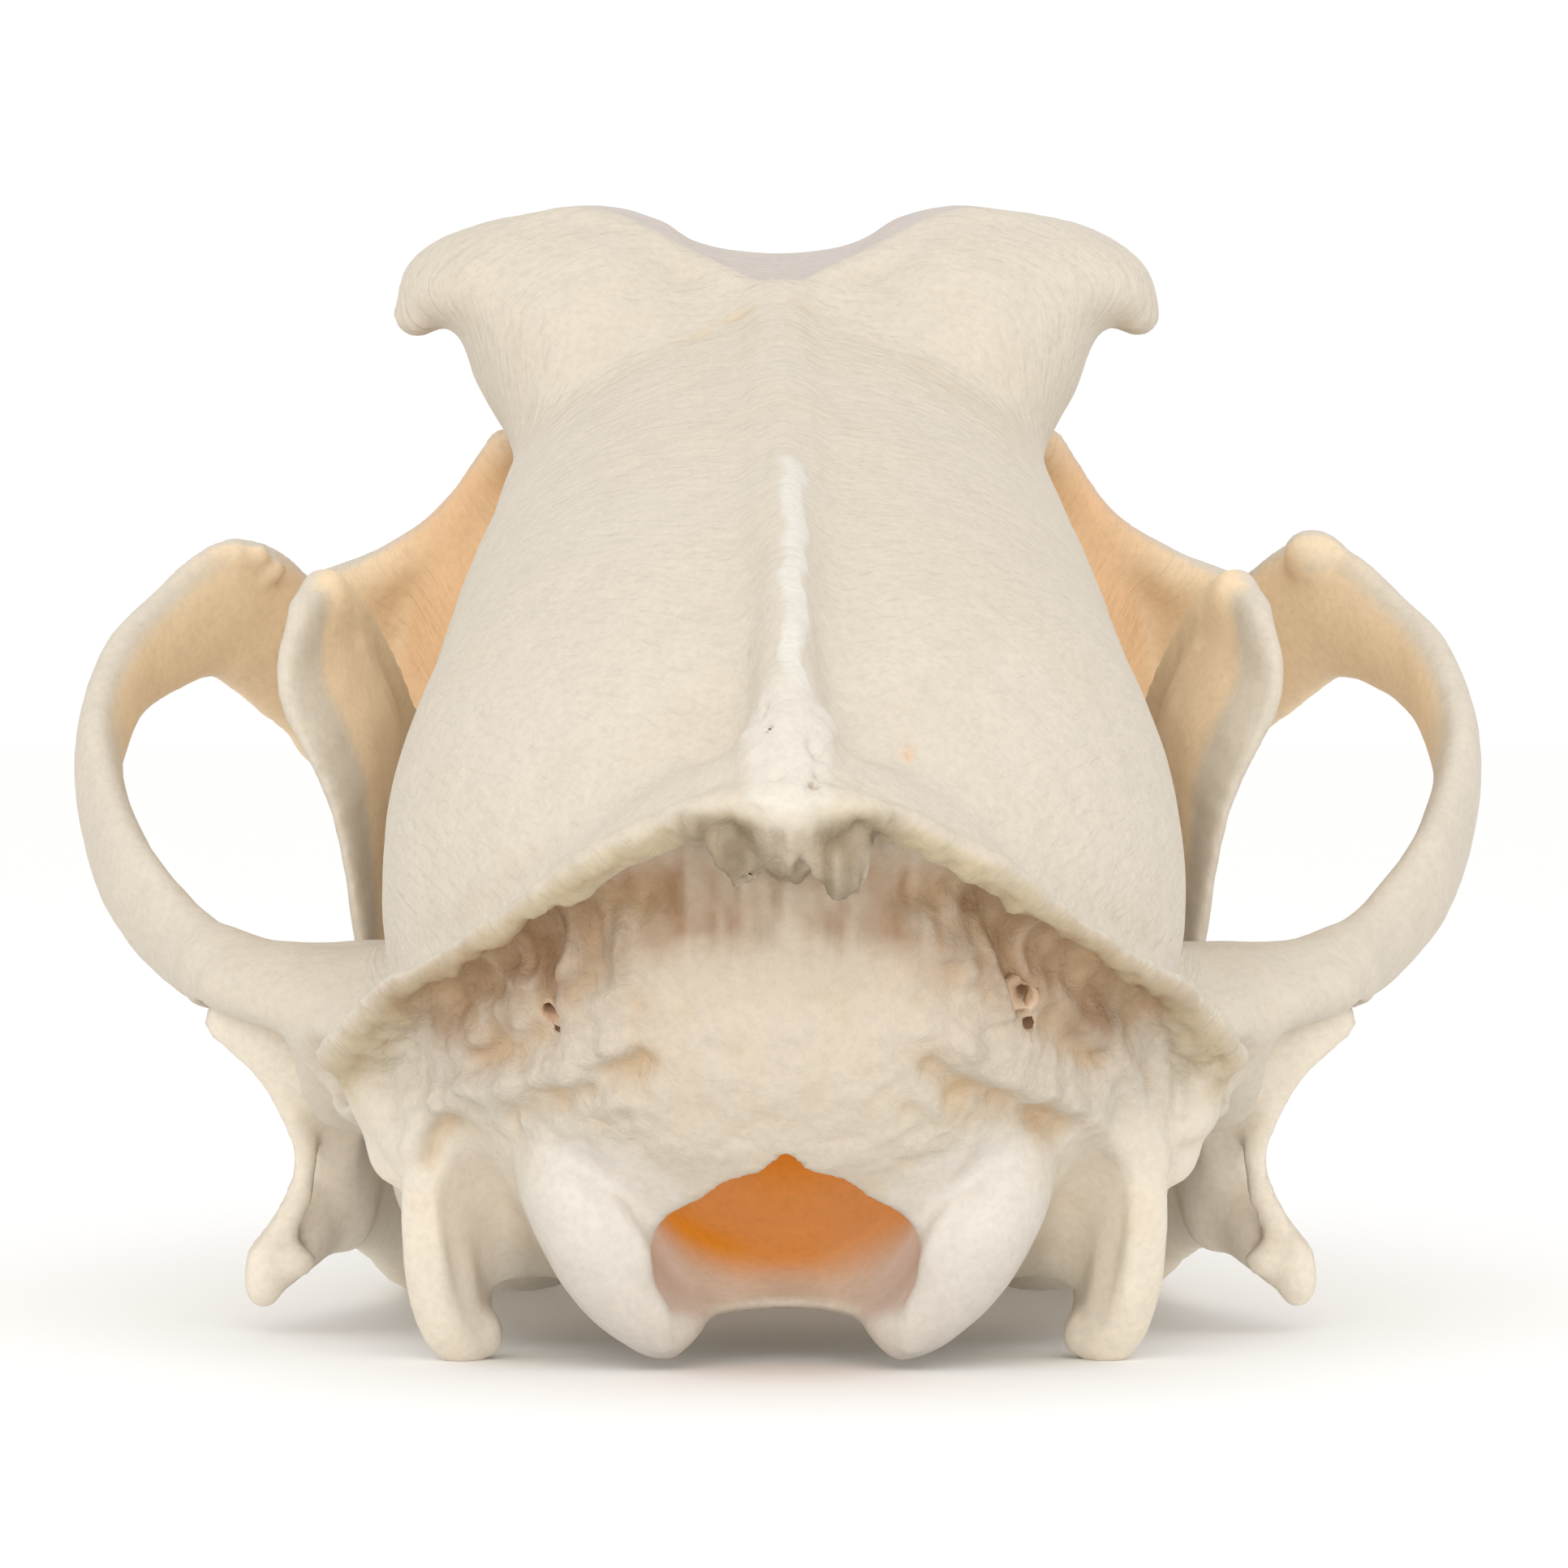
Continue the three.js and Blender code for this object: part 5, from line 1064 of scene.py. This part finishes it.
# Painted shade and bounced warm light in the jaw's hollows, tan.
hollow = step(shelter(jaw, points, outward, 6.0), 0.5, 0.85)
# The inner face of the coronoid process is painted tan with a painted glow, standing in for light
# through its thin bone, with a pale rim left along its hind edge.
hind_edge = np.interp(z, [14, 24, 30, 36, 42], [40.6, 43.6, 46.4, 48.6, 53])
medial_glow = step(-outward[:, 0], -0.4, 0.2) * step(z, -14, 4) * step(y - hind_edge, 1.6, 4.2)
lift = 0.12 * noise(points, 5.0, 11) + 0.08 * noise(points, 2.2, 12)
# Low ridges curve down the inner face.
for height, width, path in (
        (0.55, 0.8, [(34.6, 60, 36), (32.6, 62.5, 30), (31.4, 63.8, 24), (31, 63.6, 17)]),
        (0.5, 0.7, [(33.6, 66, 30), (31.6, 68, 25), (30.4, 68.6, 19), (30, 67.6, 13)]),
        (-0.5, 0.8, [(33.6, 63.5, 34), (31.6, 66, 28), (30.4, 66.4, 22), (30.2, 66, 15)])):
    lift += height * near_line(points, width, path)
points = points + outward * lift[:, None]
# Hind and sheltered faces get a painted glow, standing in for light from the pale floor and through
# thin bone, as above.
low_back_glow = np.clip(hollow + step(-outward[:, 1], 0, 0.6), 0, 1) * step(24 - z, 0, 14)
PARTING_HALF = 0.15
for side, name in ((LEFT, "mandible_left"), (RIGHT, "mandible_right")):
    placed = points * (side, 1, 1)
    placed[:, 0] = side * np.maximum(side * placed[:, 0], PARTING_HALF)
    piece = mesh_piece(name, placed, faces if side == RIGHT else faces[:, ::-1], {
        "hollow": 0.6 * hollow, "inner": 0.9 * medial_glow, "painted_glow": 0.06 * medial_glow + 0.3 * low_back_glow})
    piece.data.materials.append(bone)
    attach(piece, "root")
    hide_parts(name)

# Upper teeth
# Forty-two teeth in all, of dentine capped with enamel, each grown into its socket. The upper row
# has three incisors, the canine, four premolars and two molars on each side.
UPPER_TEETH = {
    # Place of the crown's base, cusps as forward, outward, height, length and thickness, then
    # how far the tip leans outward and forward.
    "incisor1": ((2.5, 181.4, 3), [(0, 0, 9, 5, 4.4)], (0, 0)),
    "incisor2": ((7.4, 179.8, 3), [(0, 0, 9.6, 5.4, 5)], (0, 0)),
    "incisor3": ((12.4, 177, 3), [(0, 0, 12, 6.4, 6)], (0, 0)),
    "canine": ((20.2, 163, 3), [(0, 0, 24, 11.4, 8.4)], (2.2, -5)),
    "premolar1": ((20.4, 151.4, 2.6), [(0, 0, 6.4, 6, 4)], (0, 0)),
    "premolar2": ((22, 142.6, 2.6), [(0.4, 0, 8, 8, 4.4), (-3.6, 0, 5.4, 5, 4)], (0, 0)),
    "premolar3": ((25.4, 129.4, 2.6), [(0.6, 0, 8.8, 9.4, 5), (-4.6, 0, 6, 5.4, 4.4)], (0, 0)),
    "carnassial": ((30.6, 113.6, 2.6), [
        (1.6, 0, 11.6, 9.4, 6.6), (-5.2, 0.6, 9.4, 8.4, 5.8), (6.6, -4.6, 6, 5, 4.6)], (0, 0)),
    "molar1": ((29.6, 98.2, 2.6), [
        (3, 2.8, 7.4, 7, 6), (-3, 2.8, 6.6, 6.6, 6), (0, -4.2, 5.6, 9.6, 8.6)], (0, 0)),
    "molar2": ((26.4, 88.4, 2.8), [(0, 1.6, 5.4, 6.6, 5.6), (-0.4, -2.6, 4.8, 6, 5.4)], (0, 0)),
}


def tooth(base, cusps, curve, up):
    """One tooth of the right side as points and faces: curved cusps that share a crown."""
    root = 6.0
    grain = 0.32
    reach = max(max(c[3], c[4]) / 2 + math.hypot(c[0], c[1]) for c in cusps)
    reach = reach + 2 + max(map(abs, curve))
    tall = max(c[2] for c in cusps) + 1
    low = np.array([base[0] - reach, base[1] - reach, base[2] - (root if up > 0 else tall) - 1])
    high = np.array([base[0] + reach, base[1] + reach, base[2] + (tall if up > 0 else root) + 1])
    clay = Clay(*[np.arange(a, b, grain) for a, b in zip(low, high)])
    for forward, outward, height, length, thickness in cusps:
        knots = []
        for t in (-root / height, 0.0, 0.25, 0.5, 0.75, 1.0):
            full = 0.82 if t < 0 else max(math.cos(t * math.pi / 2) ** 0.85, 0.12)
            lean = max(t, 0) ** 2
            tip = 1 - 0.12 * max(t, 0)
            knots.append((
                base[0] + outward + curve[0] * lean,
                base[1] + forward + curve[1] * lean,
                base[2] + up * height * t * tip,
                full * length / 2, full * thickness / 2))
        clay.add(limb((0, 1, 0), knots), 1.2)
    return largest(*skin(clay))


def tooth_row(name, teeth, up, body_side):
    """One side's row of teeth in one mesh."""
    all_points, all_faces, count = [], [], 0
    for base, cusps, curve in teeth.values():
        p, f = tooth(base, cusps, curve, up)
        all_points.append(p * (body_side, 1, 1))
        all_faces.append((f if body_side == RIGHT else f[:, ::-1]) + count)
        count += len(p)
    p = np.concatenate(all_points)
    return mesh_piece(name, p, np.concatenate(all_faces), {"crown": step(up * p[:, 2], -40, 40)})


def enamel():
    """Tooth enamel over dentine: a clear, hard glaze with yellower patches."""
    material = bpy.data.materials.new("tooth_enamel")
    material.use_nodes = True
    tree = material.node_tree
    tree.nodes.clear()
    place = node(tree, "ShaderNodeTexCoord")
    stain = node(tree, "ShaderNodeTexNoise", {}, {
        "Vector": (place, "Object"), "Scale": 220.0, "Detail": 3.0})
    colour = node(tree, "ShaderNodeMix", {"data_type": "RGBA"}, {
        0: (stain, "Fac"), 6: linear("#F4EEE0"), 7: linear("#E5D6B8")})
    shader = node(tree, "ShaderNodeBsdfPrincipled", {}, {
        "Base Color": (colour, 2), "Roughness": 0.22, "IOR": 1.62})
    node(tree, "ShaderNodeOutputMaterial", {}, {"Surface": (shader, "BSDF")})
    return material


tooth_glaze = enamel()
for side, word in ((LEFT, "left"), (RIGHT, "right")):
    row = tooth_row("upper_teeth_" + word, UPPER_TEETH, -1, side)
    row.data.materials.append(tooth_glaze)
    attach(row, "root")

# Lower teeth
# Three incisors, the canine, four premolars and three molars on each side. They close inside the
# upper row, and the canine stands in front of the upper one.
LOWER_TEETH = {
    "incisor1": ((2.4, 177.4, -7.4), [(0, 0, 6.6, 4, 3.8)], (0, 0)),
    "incisor2": ((6.4, 176.8, -7.4), [(0, 0, 7, 4.6, 4.2)], (0, 0)),
    "incisor3": ((9.6, 173.4, -7.6), [(0, 0, 6.8, 4.6, 4.2)], (0, 0)),
    "canine": ((14.4, 169.5, -8.6), [(0, 0, 14.2, 7, 7)], (3.6, 2.1)),
    "premolar1": ((15.8, 157.4, -10.6), [(0, 0, 6, 5, 3.8)], (0, 0)),
    "premolar2": ((17.6, 148, -11.4), [(0.4, 0, 7.6, 7.4, 4.2), (-3.2, 0, 5, 4.6, 3.8)], (0, 0)),
    "premolar3": ((20, 136.6, -12.6), [(0.4, 0, 8, 8.4, 4.6), (-3.8, 0, 5.4, 5, 4.2)], (0, 0)),
    "premolar4": ((22.2, 124.2, -13.8), [(0.6, 0, 9.2, 9.4, 5), (-4.4, 0, 6.6, 5.6, 4.6)], (0, 0)),
    "carnassial": ((23.4, 107.8, -14), [
        (6.6, 0, 9.6, 7.8, 5.4), (0.4, 0, 12.6, 10, 6.4), (-7.4, 0, 6.4, 7.4, 6)], (0, 0)),
    "molar2": ((25.6, 90.6, -12.6), [(1.8, 0, 6, 5, 5.4), (-2, 0, 5, 4.6, 5)], (0, 0)),
    "molar3": ((27, 82.8, -9.6), [(0, 0, 3.8, 4.6, 4.2)], (0, 0)),
}
for side, word in ((LEFT, "left"), (RIGHT, "right")):
    row = tooth_row("lower_teeth_" + word, LOWER_TEETH, 1, side)
    row.data.materials.append(tooth_glaze)
    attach(row, "root")

# Floor, light and camera
# A plain pale table under soft studio light. The camera looks from behind and a little above, as
# the photograph does, through a long lens.
floor_mesh = bpy.data.meshes.new("floor")
FLOOR_HALF = 12.0
floor_mesh.from_pydata(
    [(FLOOR_HALF * u, FLOOR_HALF * v, 0) for u, v in ((-1, -1), (1, -1), (1, 1), (-1, 1))],
    [], [(0, 1, 2, 3)])
floor = bpy.data.objects.new("floor", floor_mesh)
bpy.context.scene.collection.objects.link(floor)
paper = bpy.data.materials.new("matt_paper")
paper.use_nodes = True
paper.node_tree.nodes["Principled BSDF"].inputs["Base Color"].default_value = linear("#FCFCFB")
paper.node_tree.nodes["Principled BSDF"].inputs["Roughness"].default_value = 0.9
floor.data.materials.append(paper)

world = bpy.data.worlds.new("studio")
world.use_nodes = True
bpy.context.scene.world = world
world.node_tree.nodes["Background"].inputs["Color"].default_value = linear("#FFFFFF")
world.node_tree.nodes["Background"].inputs["Strength"].default_value = 1.02


def softbox(name, place, aim, size, power):
    """A square studio light in metres and watts, turned towards its aim."""
    light = bpy.data.lights.new(name, "AREA")
    light.shape = "SQUARE"
    light.size = size
    light.energy = power
    lamp = bpy.data.objects.new(name, light)
    bpy.context.scene.collection.objects.link(lamp)
    lamp.location = place
    toward = np.array(aim) - np.array(place)
    lamp.rotation_mode = "QUATERNION"
    lamp.rotation_quaternion = Vector(toward).to_track_quat("-Z", "Y")


softbox("softbox_top", (0.12, -0.62, 0.78), (0, 0, 0.04), 0.6, 0.4)
softbox("softbox_low", (-0.05, -0.95, 0.25), (0, 0, 0.03), 0.8, 4.0)

CAMERA_PLACE = (-0.00546, -0.67786, 0.04977)
CAMERA_YAW = math.radians(-0.51)
CAMERA_ELEVATION = math.radians(0.5)
camera_data = bpy.data.cameras.new("camera")
camera_data.sensor_width = 36
camera_data.lens = 36 * 9837 / 1932
camera_data.clip_start = 0.01
camera_data.clip_end = 100
camera = bpy.data.objects.new("camera", camera_data)
bpy.context.scene.collection.objects.link(camera)
camera.location = CAMERA_PLACE
camera.rotation_euler = (math.pi / 2 - CAMERA_ELEVATION, 0, CAMERA_YAW)
bpy.context.scene.camera = camera
bpy.context.scene.view_settings.view_transform = "Standard"
